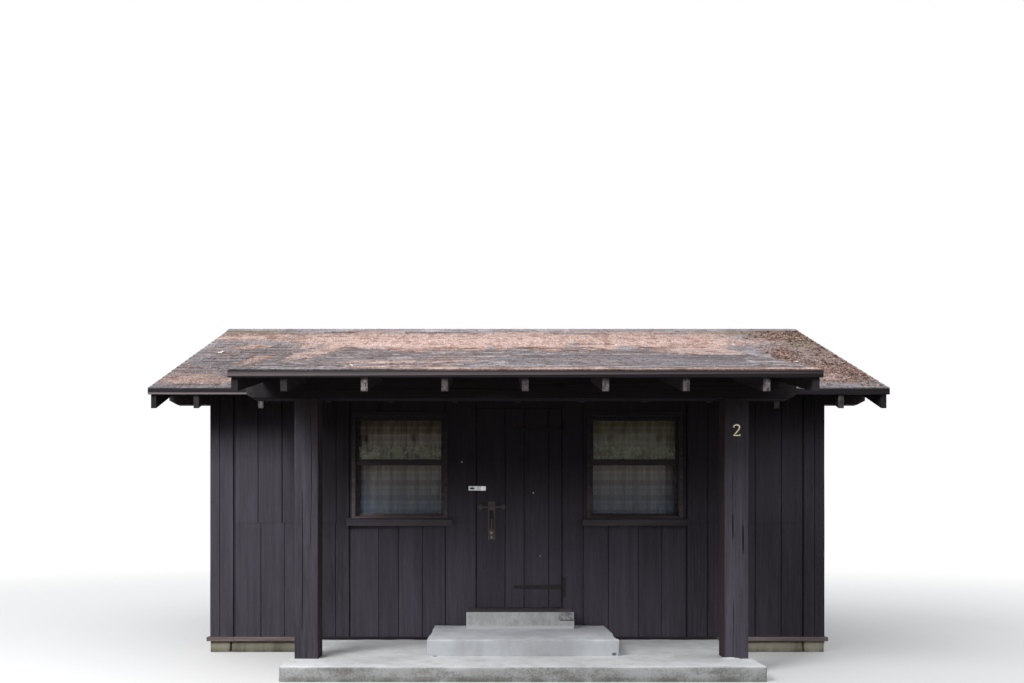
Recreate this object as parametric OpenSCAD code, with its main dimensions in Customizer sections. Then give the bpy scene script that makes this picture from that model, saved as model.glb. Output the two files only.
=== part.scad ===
// Small timber cabin with a concrete porch slab, two square porch posts and a shallow second roof pitch over the
// porch. Millimetres, +Z up, +X to the right as seen from the porch, the porch towards -Y, ground at Z 0.

/* [Building] */
// Width over the siding, along X
building_w = 6096; // [5600:1:6700]
// Depth over the siding, along Y
building_d = 4270; // [3900:1:5000]
// Thickness of the siding boards
siding_t = 25; // [18:1:32]
// Width of the corner boards
corner_board_w = 240; // [120:1:300]
// Depth of the wall studs
stud_d = 100; // [80:1:140]
// Thickness of the wall studs
stud_w = 50; // [38:1:60]
// Height of the wall studs between sole plate and top plate
stud_h = 1960; // [1880:1:2200]
// Height of the sole plates
sole_h = 50; // [38:1:70]
// Height of the top plates
plate_h = 145; // [100:1:180]
// Reach of the top plates past the gable siding
plate_reach = 410; // [250:1:410]
// Length of the bevel under each plate end
plate_bevel_l = 75; // [20:1:120]
// Height of the bevel under each plate end
plate_bevel_h = 40; // [10:1:80]

/* [Ground works] */
// Height of the concrete foundation above the ground
foundation_h = 110; // [80:1:300]
// Width of the foundation strips
foundation_w = 180; // [140:1:260]
// Side of the square corner piers
pier_s = 205; // [160:1:240]
// Gap between a corner pier and the strips beside it
pier_gap = 10; // [4:1:30]
// Thickness of the mudsill planks
mudsill_t = 40; // [25:1:60]
// How far the mudsills stand out past the siding
mudsill_lip = 25; // [10:1:40]
// Length of the plank under each corner
corner_plank_l = 265; // [220:1:400]
// Height of the sill beams
sill_h = 80; // [60:1:140]

/* [Floor] */
// Height of the floor joists
joist_h = 190; // [140:1:240]
// Thickness of the floor joists
joist_w = 50; // [38:1:60]
// Thickness of the floor boards
floor_t = 25; // [18:1:32]

/* [Main roof] */
// Rise of the main roof for each unit of run
main_pitch = 0.4167; // [0.38:0.0001:0.6]
// Horizontal reach of the eaves past the siding
eave_reach = 520; // [380:1:640]
// Horizontal reach of the roof past the gable siding
gable_reach = 420; // [420:1:520]
// Number of rafter bays between the two gables
rafter_bays = 10; // [10:1:12]
// Thickness of the rafters
rafter_w = 50; // [38:1:60]
// Height of the main rafters, square to the slope
rafter_h = 150; // [120:1:180]
// Depth of the notch that seats a main rafter on the plate
rafter_notch = 30; // [15:1:45]
// Distance of the rafter tails behind the roof edge
tail_inset = 30; // [26:1:60]
// Height of the level cuts under the porch above the top of the door leaf
tail_lift = 20; // [10:1:40]
// Distance of the barge rafters from the side of the roof
barge_inset = 21; // [5:1:40]
// Thickness of the roof boards
deck_t = 25; // [15:1:32]
// Thickness of the shingle layer
shingle_t = 10; // [6:1:20]
// Thickness of the fascia strips
fascia_t = 25; // [15:1:25]
// Height of the fascia strips
fascia_h = 51; // [30:1:90]
// Thickness of the ridge board
ridge_t = 38; // [25:1:50]
// Width of each wing of the ridge cap
ridge_cap_w = 150; // [100:1:220]
// Thickness of the ridge cap
ridge_cap_t = 6; // [3:1:12]
// Height of the tie beams
tie_h = 120; // [90:1:130]
// Thickness of the blocks that close the eaves
eave_block_t = 38; // [25:1:50]

/* [Porch] */
// Height of the porch slab
slab_h = 130; // [100:1:240]
// Width of the porch slab
slab_w = 3955; // [3900:1:4400]
// Reach of the porch slab in front of the siding
slab_reach = 1670; // [1450:1:2000]
// Width of the lower step block
step_w = 1674; // [1200:1:2400]
// Height of the lower step block
step_h = 140; // [100:1:150]
// Reach of the lower step block in front of the siding
step_reach = 1130; // [700:1:1200]
// Width of the step block at the door
door_step_w = 1034; // [900:1:1200]
// Height of the step block at the door
door_step_h = 165; // [120:1:170]
// Reach of the step block at the door
door_step_reach = 340; // [280:1:600]
// Side of the square porch posts
post_s = 205; // [140:1:230]
// Length of the porch posts
post_h = 2213; // [2180:1:2260]
// Distance between the post centres
post_spacing = 3660; // [3300:1:3700]
// Distance from the siding to the front of the posts
post_front = 1280; // [1100:1:1400]
// Width of the chamfer along the post edges
post_chamfer = 8; // [2:1:25]
// Length of the porch beam
beam_l = 4680; // [4470:1:4900]
// Height of the porch beam
beam_h = 200; // [170:1:220]
// Size of the bevel under each beam end
beam_bevel = 35; // [10:1:80]
// Rise of the porch roof for each unit of run
porch_pitch = 0.24; // [0.22:0.001:0.25]
// Horizontal reach of the porch roof in front of the siding
porch_reach = 2220; // [2000:1:2400]
// Width of the porch roof
porch_roof_w = 4460; // [4300:1:4700]
// Number of porch rafters on each side of the middle one
porch_rafter_side = 3; // [2:1:3]
// Height of the porch rafters, square to the slope
porch_rafter_h = 130; // [110:1:160]
// Depth of the notch that seats a porch rafter on the beam
porch_notch = 50; // [20:1:60]

/* [Door] */
// Width of the door leaf
door_w = 843; // [760:1:880]
// Height of the door leaf
door_h = 1971; // [1890:1:1975]
// Offset of the door from the middle of the front wall
door_x = 19; // [0:1:60]
// Running gap round the door leaf
door_gap = 6; // [5:1:10]
// Thickness of the door planks
door_t = 25; // [20:1:32]
// Places of the plank seams, measured from the middle of the leaf
door_seams = [-139, 49, 293];
// Width of the groove along a plank seam
seam_w = 8; // [4:1:16]
// Depth of the groove along a plank seam
seam_h = 5; // [2:1:10]
// Height of the ledges across the back of the door
ledge_h = 140; // [90:1:180]
// Thickness of the ledges
ledge_t = 25; // [18:1:30]
// Thickness of the door jambs
jamb_t = 38; // [30:1:45]
// Width of the rebate that stops the door
stop_w = 12; // [10:1:20]

/* [Door iron] */
// Distance of each hinge from the top or bottom of the leaf
hinge_inset = 205; // [120:1:320]
// Length of the hinge straps
strap_l = 480; // [300:1:600]
// Height of the hinge straps at the knuckle
strap_h = 46; // [40:1:60]
// Height of a hinge strap at its tip
strap_tip_h = 28; // [16:1:38]
// Thickness of the hinge iron
hinge_iron_t = 5; // [3:1:6]
// Radius of the hinge knuckles
knuckle_r = 8; // [8:0.5:11]
// Radius of the hinge pins
pin_r = 3.5; // [2:0.1:4]
// Running clearance round pins and between knuckles
pin_clear = 0.5; // [0.3:0.1:1]
// Height of the hinge plates on the wall
hinge_plate_h = 198; // [120:1:240]
// Width of the hinge plates on the wall
hinge_plate_w = 28; // [20:1:50]
// Width of the pull plate
pull_w = 70; // [50:1:90]
// Height of the pull plate
pull_h = 376; // [300:1:400]
// Height of the middle of the pull plate above the floor
pull_z = 858; // [800:1:900]
// Distance of the pull plate's middle from the free edge of the leaf
pull_inset = 148; // [120:1:180]
// Thickness of the plates of the pull and the hasp
plate_iron_t = 3; // [2:1:4]
// Radius of the grip
grip_r = 8; // [6:1:12]
// Length of the grip
grip_l = 170; // [120:1:220]
// Distance from the leaf to the middle of the grip
grip_out = 42; // [36:1:55]
// Length of the latch bar
latch_l = 290; // [240:1:340]
// Height of the latch bar
latch_h = 16; // [10:1:20]
// Height of the latch bar above the floor
latch_z = 985; // [940:1:1010]
// Height of the hasp above the floor
hasp_z = 1177; // [1120:1:1300]
// Height of the hasp leaf
hasp_h = 44; // [30:1:60]
// Distance of the hasp pin from the free edge of the leaf
hasp_inset = 28; // [20:1:40]
// Length of the hasp leaf
hasp_l = 108; // [95:1:130]
// Length of the hasp base on the door
hasp_base_l = 62; // [40:1:80]
// Length of the slot in the hasp leaf
hasp_slot_l = 42; // [38:1:50]
// Height of the slot in the hasp leaf
hasp_slot_h = 14; // [12:1:18]
// Distance of the slot from the end of the hasp leaf
hasp_slot_inset = 13; // [8:1:20]
// Clear distance between the hasp leaf and the staple plate
hasp_lift = 5; // [5:0.5:8]
// Radius of the hasp knuckles
hasp_knuckle_r = 5; // [4:0.5:7]
// Radius of the hasp pin
hasp_pin_r = 2; // [1.5:0.1:2.5]
// Thickness of the staple's bar
staple_bar = 5; // [4:0.5:6]
// Width of the staple
staple_w = 28; // [20:1:30]
// Reach of the staple in front of the siding
staple_reach = 30; // [26:1:36]

/* [Windows] */
// Distance of the front and rear windows from the middle of the wall
window_x = 1165; // [1140:1:1300]
// Width of the window frames
window_w = 947; // [820:1:960]
// Height of the window frames
window_h = 1053; // [950:1:1053]
// Height of the window frames above the floor
window_rise = 882; // [860:1:910]
// Thickness of the side members of a window frame
frame_side_t = 35; // [25:1:45]
// Thickness of the head of a window frame
frame_head_t = 40; // [25:1:50]
// Thickness of the bottom member of a window frame
frame_foot_t = 20; // [15:1:40]
// How far the window frames stand out past the siding
frame_proud = 8; // [2:1:15]
// Thickness of the sashes
sash_t = 30; // [20:1:34]
// Distance of the upper sash behind the siding face
sash_in = 28; // [20:1:34]
// Width of the sash stiles
stile_w = 29; // [20:1:50]
// Height of the upper sash's top rail
top_rail_h = 46; // [25:1:60]
// Height of the two meeting rails
meeting_rail_h = 58; // [30:1:60]
// Height of the lower sash's bottom rail
bottom_rail_h = 28; // [20:1:60]
// Height of the clear glass in the lower sash
lower_glass_h = 479; // [380:1:480]
// Thickness of the window glass
glass_t = 4; // [3:1:6]
// Length of the outside window sills
sill_l = 1046; // [970:1:1080]
// Reach of the outside window sills
sill_reach = 45; // [20:1:60]
// Height of the front edge of the outside window sills
sill_edge_h = 59; // [35:1:90]
// Fall of the outside window sills
sill_fall = 18; // [5:1:30]
// Height of the headers over the windows
header_h = 75; // [60:1:75]

/* [Curtains] */
// Radius of the curtain rods
rod_r = 8; // [6:1:10]
// Length of the curtain rods
rod_l = 1010; // [980:1:1040]
// Distance of the rods from the inner face of the wall frame
rod_out = 30; // [28:1:45]
// Height of the curtain rods above the window frame's top edge
rod_rise = 25; // [10:1:40]
// Thickness of a gathered curtain
curtain_t = 36; // [20:1:40]
// Height of a curtain
curtain_h = 1110; // [1000:1:1130]
// Gap between the two curtains of a window
curtain_gap = 14; // [6:1:200]

/* [Hidden] */
$fn = 32;

// Saw gap between like pieces that butt
joint_gap = 0.5;
// Seat clearance between layers that meet on a slope
slope_gap = 0.1;
// Seat clearance of hung cloth
cloth_gap = 0.3;
// Running clearance of a sash at each side, and half of that between the two sashes
sash_gap = 1;

// Colours as weathered outdoors
stain_dark = [0.13, 0.10, 0.09];
stain_worn = [0.22, 0.18, 0.16];
raw_wood = [0.52, 0.41, 0.29];
concrete = [0.62, 0.60, 0.57];
shingle_grey = [0.36, 0.33, 0.34];
iron_dark = [0.17, 0.15, 0.14];
zinc = [0.62, 0.63, 0.64];
linen = [0.80, 0.78, 0.70];
pane_tint = [0.55, 0.62, 0.62];

// Stations along Y
overall_d = porch_reach + building_d + eave_reach;
front_y = porch_reach - overall_d / 2;
rear_y = front_y + building_d;
ridge_y = (front_y + rear_y) / 2;
frame_out_y = front_y + siding_t;
frame_in_y = frame_out_y + stud_d;
eave_y = front_y - eave_reach;
tail_y = eave_y + tail_inset;
porch_edge_y = front_y - porch_reach;
porch_tail_y = porch_edge_y + tail_inset;
beam_y = front_y - post_front;

// Stations along X
half_w = building_w / 2;
frame_half = half_w - siding_t;
frame_in_half = frame_half - stud_d;
roof_half = half_w + gable_reach;
rafter_step = (building_w - rafter_w) / rafter_bays;
barge_x = roof_half - barge_inset - rafter_w / 2;
porch_barge_x = porch_roof_w / 2 - barge_inset - rafter_w / 2;

// Levels
mudsill_z = foundation_h + mudsill_t;
joist_z = mudsill_z + sill_h;
floor_z = joist_z + joist_h + floor_t;
stud_z = floor_z + sole_h;
plate_z = stud_z + stud_h;
plate_top = plate_z + plate_h;
post_top = slab_h + post_h;
beam_top = post_top + beam_h;
step_top = slab_h + step_h;
door_step_top = step_top + door_step_h;

// Vertical thickness of layers that lie square to the slope
main_stretch = sqrt(1 + main_pitch * main_pitch);
porch_stretch = sqrt(1 + porch_pitch * porch_pitch);
main_shingle_drop = shingle_t * main_stretch;
main_deck_top = main_shingle_drop + slope_gap;
main_deck_drop = main_deck_top + deck_t * main_stretch;
main_rafter_top = main_deck_drop + slope_gap;
main_rafter_drop = main_rafter_top + rafter_h * main_stretch;
porch_shingle_drop = shingle_t * porch_stretch;
porch_deck_top = porch_shingle_drop + slope_gap;
porch_deck_drop = porch_deck_top + deck_t * porch_stretch;
porch_rafter_top = porch_deck_drop + slope_gap;
porch_rafter_drop = porch_rafter_top + porch_rafter_h * porch_stretch;

// Height of the front slope at a station, some distance below the shingle top
function main_z(y, drop) =
    plate_top - rafter_notch + main_rafter_drop + main_pitch * (y - frame_out_y) - drop;

// Height of the porch roof at a station, some distance below the shingle top
function porch_z(y, drop) = beam_top - porch_notch + porch_rafter_drop + porch_pitch * (y - beam_y) - drop;

// Point in Y and Z where a layer of the porch roof runs out on the main roof
function meet_y(drop) = (porch_z(0, drop) - main_z(0, -slope_gap)) / (main_pitch - porch_pitch);
function meet_point(drop) = [meet_y(drop), porch_z(meet_y(drop), drop)];

// Station where a slope's layer passes a height
function main_y_at(z, drop) = (z - main_z(0, drop)) / main_pitch;
function porch_y_at(z, drop) = (z - porch_z(0, drop)) / porch_pitch;

siding_top = main_z(front_y, main_rafter_drop);
ridge_low_z = main_z(ridge_y - ridge_t / 2, main_rafter_drop);
ridge_high_z = main_z(ridge_y - ridge_t / 2, main_rafter_top);

// The door opening and the leaf
door_open_w = door_w + 2 * door_gap;
door_left = door_x - door_w / 2;
door_right = door_x + door_w / 2;
door_low = door_step_top + door_gap;
door_high = door_low + door_h;
door_head_z = door_high + door_gap;
hinge_x = door_right + door_gap / 2;
hinge_y = front_y - knuckle_r;
hinge_levels = [door_low + hinge_inset, door_high - hinge_inset];
hinge_leaf_gap = knuckle_r + 4 * pin_clear;
hasp_x = door_left + hasp_inset;
hasp_leaf_y = front_y - plate_iron_t - hasp_lift - plate_iron_t / 2;
hasp_mid_z = floor_z + hasp_z;
staple_x = hasp_x - hasp_l + hasp_slot_inset + hasp_slot_l / 2;

// The window units
window_z = floor_z + window_rise;
window_top = window_z + window_h;
wall_t = siding_t + stud_d;
sash_w = window_w - 2 * (frame_side_t + sash_gap);
glass_w = sash_w - 2 * stile_w;
lower_sash_z = window_z + frame_foot_t;
lower_sash_h = bottom_rail_h + lower_glass_h + meeting_rail_h;
upper_sash_z = lower_sash_z + bottom_rail_h + lower_glass_h;
upper_sash_h = window_top - frame_head_t - upper_sash_z;
lower_sash_in = sash_in + sash_t + 2 * sash_gap;
window_places = [
    [-window_x, front_y, 0], [window_x, front_y, 0],
    [window_x, rear_y, 180], [-window_x, rear_y, 180],
    [-half_w, ridge_y, -90], [half_w, ridge_y, 90]];

// A solid whose outline is drawn in Y and Z, centred on a station along X
module along_x(x, length) {
    translate([x - length / 2, 0, 0]) rotate([90, 0, 90]) linear_extrude(length) children();
}

// A solid whose outline is drawn in X and Z, from a station along Y
module along_y(y, length) {
    translate([0, y + length, 0]) rotate([90, 0, 0]) linear_extrude(length) children();
}

// A box given by its two opposite corners
module block(low, high) {
    translate(low) cube(high - low);
}

// The same piece at the front and, mirrored about the ridge, at the rear
module front_and_rear() {
    children();
    translate([0, 2 * ridge_y, 0]) mirror([0, 1, 0]) children();
}

// The same piece on the right and, mirrored, on the left
module both_sides() {
    children();
    mirror([1, 0, 0]) children();
}

// A piece in each window's own frame, with the siding face at Y 0 and the room towards +Y
module at_windows() {
    for (place = window_places) translate([place[0], place[1], 0]) rotate([0, 0, place[2]]) children();
}

// Four members round a rectangle that starts at height z: stiles between the top and bottom members
module joined_frame(w, h, side, top, bottom, y, depth, z) {
    block([-w / 2, y, z], [w / 2, y + depth, z + bottom]);
    block([-w / 2, y, z + h - top], [w / 2, y + depth, z + h]);
    for (x = [-w / 2, w / 2 - side])
        block([x, y, z + bottom + joint_gap], [x + side, y + depth, z + h - top - joint_gap]);
}

module foundation_walls() color(concrete) {
    edge = pier_s + pier_gap;
    front_and_rear() block([edge - half_w, front_y, 0], [half_w - edge, front_y + foundation_w, foundation_h]);
    both_sides() block([half_w - foundation_w, front_y + edge, 0], [half_w, rear_y - edge, foundation_h]);
}

module corner_piers() color(concrete) {
    front_and_rear() both_sides()
        block([half_w - pier_s, front_y, 0], [half_w, front_y + pier_s, foundation_h]);
}

module mudsills() color(stain_worn) {
    outer = half_w + mudsill_lip;
    front = front_y - mudsill_lip;
    back = rear_y + mudsill_lip;
    width = foundation_w + mudsill_lip;
    run = corner_plank_l + joint_gap;
    front_and_rear() both_sides()
        block([outer - corner_plank_l, front, foundation_h], [outer, front + corner_plank_l, mudsill_z]);
    front_and_rear() block([run - outer, front, foundation_h], [outer - run, front + width, mudsill_z]);
    both_sides() block([outer - width, front + run, foundation_h], [outer, back - run, mudsill_z]);
}

module sill_beams() color(raw_wood) {
    front_and_rear() block([-frame_half, frame_out_y, mudsill_z], [frame_half, frame_in_y, joist_z]);
    both_sides() block(
        [frame_in_half, frame_in_y + joint_gap, mudsill_z],
        [frame_half, 2 * ridge_y - frame_in_y - joint_gap, joist_z]);
}

module floor_joists() color(raw_wood) {
    top = joist_z + joist_h;
    rim_in_y = frame_out_y + joist_w + joint_gap;
    joist_d = 2 * (ridge_y - rim_in_y);
    count = floor((frame_half - 2 * joist_w) / rafter_step);
    front_and_rear() block([-frame_half, frame_out_y, joist_z], [frame_half, frame_out_y + joist_w, top]);
    both_sides() translate([frame_half - joist_w, rim_in_y, joist_z]) cube([joist_w, joist_d, joist_h]);
    for (i = [-count : count])
        translate([i * rafter_step - joist_w / 2, rim_in_y, joist_z]) cube([joist_w, joist_d, joist_h]);
}

module floor_boards() color(raw_wood) {
    block([-frame_half, frame_out_y, floor_z - floor_t], [frame_half, 2 * ridge_y - frame_out_y, floor_z]);
}

// Sole plates on the floor, and top plates whose ends reach out past the gables
module wall_plates() color(raw_wood) {
    reach = half_w + plate_reach;
    jamb_half = door_open_w / 2 + jamb_t;
    side_y = frame_in_y + joint_gap;
    side_l = 2 * (ridge_y - side_y);
    block([-frame_half, frame_out_y, floor_z], [door_x - jamb_half, frame_in_y, stud_z]);
    block([door_x + jamb_half, frame_out_y, floor_z], [frame_half, frame_in_y, stud_z]);
    block(
        [-frame_half, 2 * ridge_y - frame_in_y, floor_z],
        [frame_half, 2 * ridge_y - frame_out_y, stud_z]);
    both_sides() translate([frame_in_half, side_y, floor_z]) cube([stud_d, side_l, sole_h]);
    both_sides() translate([frame_in_half, side_y, plate_z]) cube([stud_d, side_l, plate_h]);
    front_and_rear() along_y(frame_out_y, stud_d) polygon([
        [-reach, plate_top], [-reach, plate_z + plate_bevel_h], [plate_bevel_l - reach, plate_z],
        [reach - plate_bevel_l, plate_z], [reach, plate_z + plate_bevel_h], [reach, plate_top]]);
}

// One stud of a long wall, centred on a station along X
module long_stud(x, low, high) {
    block([x - stud_w / 2, frame_out_y, low], [x + stud_w / 2, frame_in_y, high]);
}

// One stud of the right gable wall, centred on a station along Y, with its top cut to the rafters
module gable_stud(y, low) {
    a = y - stud_w / 2;
    b = y + stud_w / 2;
    along_x(frame_half - stud_d / 2, stud_d) polygon([
        [a, low], [b, low], [b, gable_top(b)], [a, gable_top(a)]]);
}

// Underside of the end rafters and the ridge board over a station along Y
function gable_top(y) = min(ridge_low_z, main_z(ridge_y - abs(y - ridge_y), main_rafter_drop)) - slope_gap;

module wall_studs() color(raw_wood) {
    trim = (window_w + stud_w) / 2;
    corner_x = frame_half - stud_w / 2;
    mid_x = (window_x + trim + corner_x) / 2;
    door_trim = door_open_w / 2 + jamb_t + stud_w / 2;
    cripple_top = window_z - stud_w;
    wall_studs_x = [corner_x, mid_x, window_x + trim, window_x - trim];
    side_y = frame_in_y + joint_gap + stud_w / 2;
    side_mid_y = (side_y + ridge_y - trim) / 2;
    front_and_rear() both_sides() for (x = wall_studs_x) long_stud(x, stud_z, plate_z);
    front_and_rear() both_sides() long_stud(window_x, stud_z, cripple_top);
    for (side = [-1, 1]) long_stud(door_x + side * door_trim, stud_z, plate_z);
    translate([0, 2 * ridge_y, 0]) mirror([0, 1, 0]) long_stud(0, stud_z, plate_z);
    both_sides() {
        front_and_rear() for (y = [side_y, side_mid_y, ridge_y - trim])
            translate([frame_in_half, y - stud_w / 2, stud_z]) cube([stud_d, stud_w, stud_h]);
        translate([frame_in_half, ridge_y - stud_w / 2, stud_z]) cube([stud_d, stud_w, cripple_top - stud_z]);
        for (step = [-2 : 2]) gable_stud(ridge_y + step * rafter_step, plate_top);
    }
}

// Headers over the windows and rough sills under them, in each window's own frame
module wall_headers() color(raw_wood) {
    at_windows() {
        block([-window_w / 2, siding_t, window_top], [window_w / 2, wall_t, window_top + header_h]);
        block([-window_w / 2, siding_t, window_z - stud_w], [window_w / 2, wall_t, window_z]);
    }
}

// The window holes through the siding, a little wider than the siding is thick
module window_holes() {
    at_windows() block([-window_w / 2, -siding_t, window_z], [window_w / 2, 2 * siding_t, window_top]);
}

module front_siding() color(stain_dark) {
    panel_x = half_w - corner_board_w;
    difference() {
        union() {
            block([-panel_x, front_y, mudsill_z], [door_x - door_open_w / 2, frame_out_y, siding_top]);
            block([door_x + door_open_w / 2, front_y, mudsill_z], [panel_x, frame_out_y, siding_top]);
        }
        window_holes();
    }
}

// The short boards under and over the door
module door_bay_siding() color(stain_dark) {
    half = door_open_w / 2;
    block([door_x - half, front_y, mudsill_z], [door_x + half, frame_out_y, door_step_top]);
    block([door_x - half, front_y, door_head_z], [door_x + half, frame_out_y, siding_top]);
}

module rear_siding() color(stain_dark) {
    panel_x = half_w - corner_board_w;
    difference() {
        block([-panel_x, rear_y - siding_t, mudsill_z], [panel_x, rear_y, siding_top]);
        window_holes();
    }
}

module gable_siding() color(stain_dark) {
    a = front_y + corner_board_w;
    b = 2 * ridge_y - a;
    flat = ridge_t / 2;
    difference() {
        both_sides() along_x(half_w - siding_t / 2, siding_t) polygon([
            [a, mudsill_z], [b, mudsill_z], [b, gable_top(b)], [ridge_y + flat, gable_top(ridge_y)],
            [ridge_y - flat, gable_top(ridge_y)], [a, gable_top(a)]]);
        window_holes();
    }
}

// Boards round each corner; the one on the gable is notched for the plate that passes through it
module corner_boards() color(stain_dark) {
    a = frame_out_y + joint_gap;
    b = front_y + corner_board_w;
    front_and_rear() both_sides() {
        block([half_w - corner_board_w, front_y, mudsill_z], [half_w, frame_out_y, siding_top]);
        along_x(half_w - siding_t / 2, siding_t) polygon([
            [a, mudsill_z], [b, mudsill_z], [b, gable_top(b)], [frame_in_y, gable_top(frame_in_y)],
            [frame_in_y, plate_z], [a, plate_z]]);
    }
}

// Rebated jambs behind the siding, and the head between them
module door_frame() color(stain_worn) {
    half = door_open_w / 2;
    stop_y = front_y + door_t + door_gap;
    for (side = [-1, 1]) translate([door_x, 0, floor_z]) scale([side, 1, 1])
        linear_extrude(plate_z - floor_z) polygon([
            [half, frame_out_y], [half + jamb_t, frame_out_y], [half + jamb_t, frame_in_y],
            [half - stop_w, frame_in_y], [half - stop_w, stop_y], [half, stop_y]]);
    inner = half - stop_w - joint_gap;
    block([door_x - inner, stop_y, door_head_z - stop_w], [door_x + inner, frame_in_y, plate_z]);
}

// The leaf's planks as one board with a groove along each seam on both faces
module door_planks() color(stain_dark) {
    half = door_w / 2;
    front = front_y;
    back = front_y + door_t;
    groove = seam_w / 2;
    face = [for (s = door_seams) each [
        [s - groove, front], [s, front + seam_h], [s + groove, front]]];
    rear = [for (i = [len(door_seams) - 1 : -1 : 0]) each [
        [door_seams[i] + groove, back], [door_seams[i], back - seam_h], [door_seams[i] - groove, back]]];
    translate([door_x, 0, door_low]) linear_extrude(door_h) polygon(concat(
        [[-half, front]], face, [[half, front], [half, back]], rear, [[-half, back]]));
}

// Two ledges across the back of the leaf, and the brace that rises from the hinge side
module door_ledges() color(stain_worn) {
    y = front_y + door_t;
    half = door_w / 2 - stop_w - door_gap / 2;
    low = hinge_levels[0] - ledge_h / 2;
    high = hinge_levels[1] - ledge_h / 2;
    foot = low + ledge_h + joint_gap;
    head = high - joint_gap;
    for (z = [low, high]) block([door_x - half, y, z], [door_x + half, y + ledge_t, z + ledge_h]);
    along_y(y, ledge_t) polygon([
        [door_x + half - ledge_h, foot], [door_x + half, foot],
        [door_x - half + ledge_h, head], [door_x - half, head]]);
}

// A tapered strap on the leaf with the middle knuckle of the hinge
module hinge_straps() color(iron_dark) {
    knuckle_h = strap_h / 2;
    for (z = hinge_levels) difference() {
        union() {
            along_y(front_y - hinge_iron_t, hinge_iron_t) polygon([
                [hinge_x - strap_l, z - strap_tip_h / 2], [hinge_x - hinge_leaf_gap, z - strap_h / 2],
                [hinge_x - hinge_leaf_gap, z + strap_h / 2], [hinge_x - strap_l, z + strap_tip_h / 2]]);
            block(
                [hinge_x - hinge_leaf_gap, hinge_y, z - knuckle_h / 2],
                [hinge_x, front_y, z + knuckle_h / 2]);
            translate([hinge_x, hinge_y, z - knuckle_h / 2]) cylinder(r = knuckle_r, h = knuckle_h);
        }
        translate([hinge_x, hinge_y, z - strap_h]) cylinder(r = pin_r + pin_clear, h = 2 * strap_h);
    }
}

// Plates on the wall with the outer knuckles and the pin
module hinge_plates() color(iron_dark) {
    knuckle_h = strap_h / 4 - pin_clear;
    left = hinge_x + hinge_leaf_gap;
    for (z = hinge_levels) {
        block(
            [left, front_y - hinge_iron_t, z - hinge_plate_h / 2],
            [left + hinge_plate_w, front_y, z + hinge_plate_h / 2]);
        for (low = [z - strap_h / 2, z + strap_h / 2 - knuckle_h]) {
            translate([hinge_x, hinge_y, low]) cylinder(r = knuckle_r, h = knuckle_h);
            block([hinge_x, hinge_y, low], [left, front_y, low + knuckle_h]);
        }
        translate([hinge_x, hinge_y, z - strap_h / 2]) cylinder(r = pin_r, h = strap_h);
    }
}

// Pull plate with its grip and the latch bar across it, and the fixed half of the hasp
module door_latch() color(iron_dark) {
    x = door_left + pull_inset;
    mid = floor_z + pull_z;
    bar_z = floor_z + latch_z;
    bar_x = door_left + door_gap;
    grip_y = front_y - grip_out;
    grip_low = mid - pull_h / 2 + grip_r * 4;
    plate_y = front_y - plate_iron_t;
    block([x - pull_w / 2, plate_y, mid - pull_h / 2], [x + pull_w / 2, front_y, mid + pull_h / 2]);
    translate([x, grip_y, grip_low]) cylinder(r = grip_r, h = grip_l);
    for (z = [grip_low + grip_r, grip_low + grip_l - grip_r])
        translate([x, plate_y, z]) rotate([90, 0, 0]) cylinder(r = grip_r, h = grip_out - plate_iron_t);
    block([bar_x, plate_y - latch_h / 2, bar_z], [bar_x + latch_l, plate_y, bar_z + latch_h]);
    for (guide = [bar_x + latch_h, bar_x + latch_l - 3 * latch_h]) block(
        [guide, plate_y, bar_z - latch_h],
        [guide + 2 * latch_h, front_y, bar_z + 2 * latch_h]);
    hasp_base();
}

// Plate on the leaf with the middle knuckle of the hasp
module hasp_base() {
    knuckle_h = hasp_h / 2;
    low = hasp_mid_z - knuckle_h / 2;
    difference() {
        union() {
            block(
                [hasp_x, front_y - plate_iron_t, hasp_mid_z - hasp_h / 2],
                [hasp_x + hasp_base_l, front_y, hasp_mid_z + hasp_h / 2]);
            block([hasp_x, hasp_leaf_y, low], [hasp_x + hasp_knuckle_r, front_y, low + knuckle_h]);
            translate([hasp_x, hasp_leaf_y, low]) cylinder(r = hasp_knuckle_r, h = knuckle_h);
        }
        translate([hasp_x, hasp_leaf_y, hasp_mid_z - hasp_h]) cylinder(r = hasp_pin_r + pin_clear, h = 2 * hasp_h);
    }
}

// Slotted leaf with its pin and the outer knuckles
module hasp_leaf() color(zinc) {
    knuckle_h = hasp_h / 4 - pin_clear;
    low_z = hasp_mid_z - hasp_h / 2;
    slot_left = hasp_x - hasp_l + hasp_slot_inset;
    body_right = hasp_x - hasp_knuckle_r - pin_clear;
    difference() {
        block(
            [hasp_x - hasp_l, hasp_leaf_y - plate_iron_t / 2, low_z],
            [body_right, hasp_leaf_y + plate_iron_t / 2, low_z + hasp_h]);
        block(
            [slot_left, hasp_leaf_y - hasp_lift, hasp_mid_z - hasp_slot_h / 2],
            [slot_left + hasp_slot_l, hasp_leaf_y + hasp_lift, hasp_mid_z + hasp_slot_h / 2]);
    }
    for (low = [low_z, low_z + hasp_h - knuckle_h]) {
        translate([hasp_x, hasp_leaf_y, low]) cylinder(r = hasp_knuckle_r, h = knuckle_h);
        block(
            [body_right, hasp_leaf_y - plate_iron_t / 2, low],
            [hasp_x, hasp_leaf_y + plate_iron_t / 2, low + knuckle_h]);
    }
    translate([hasp_x, hasp_leaf_y, low_z]) cylinder(r = hasp_pin_r, h = hasp_h);
}

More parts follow.
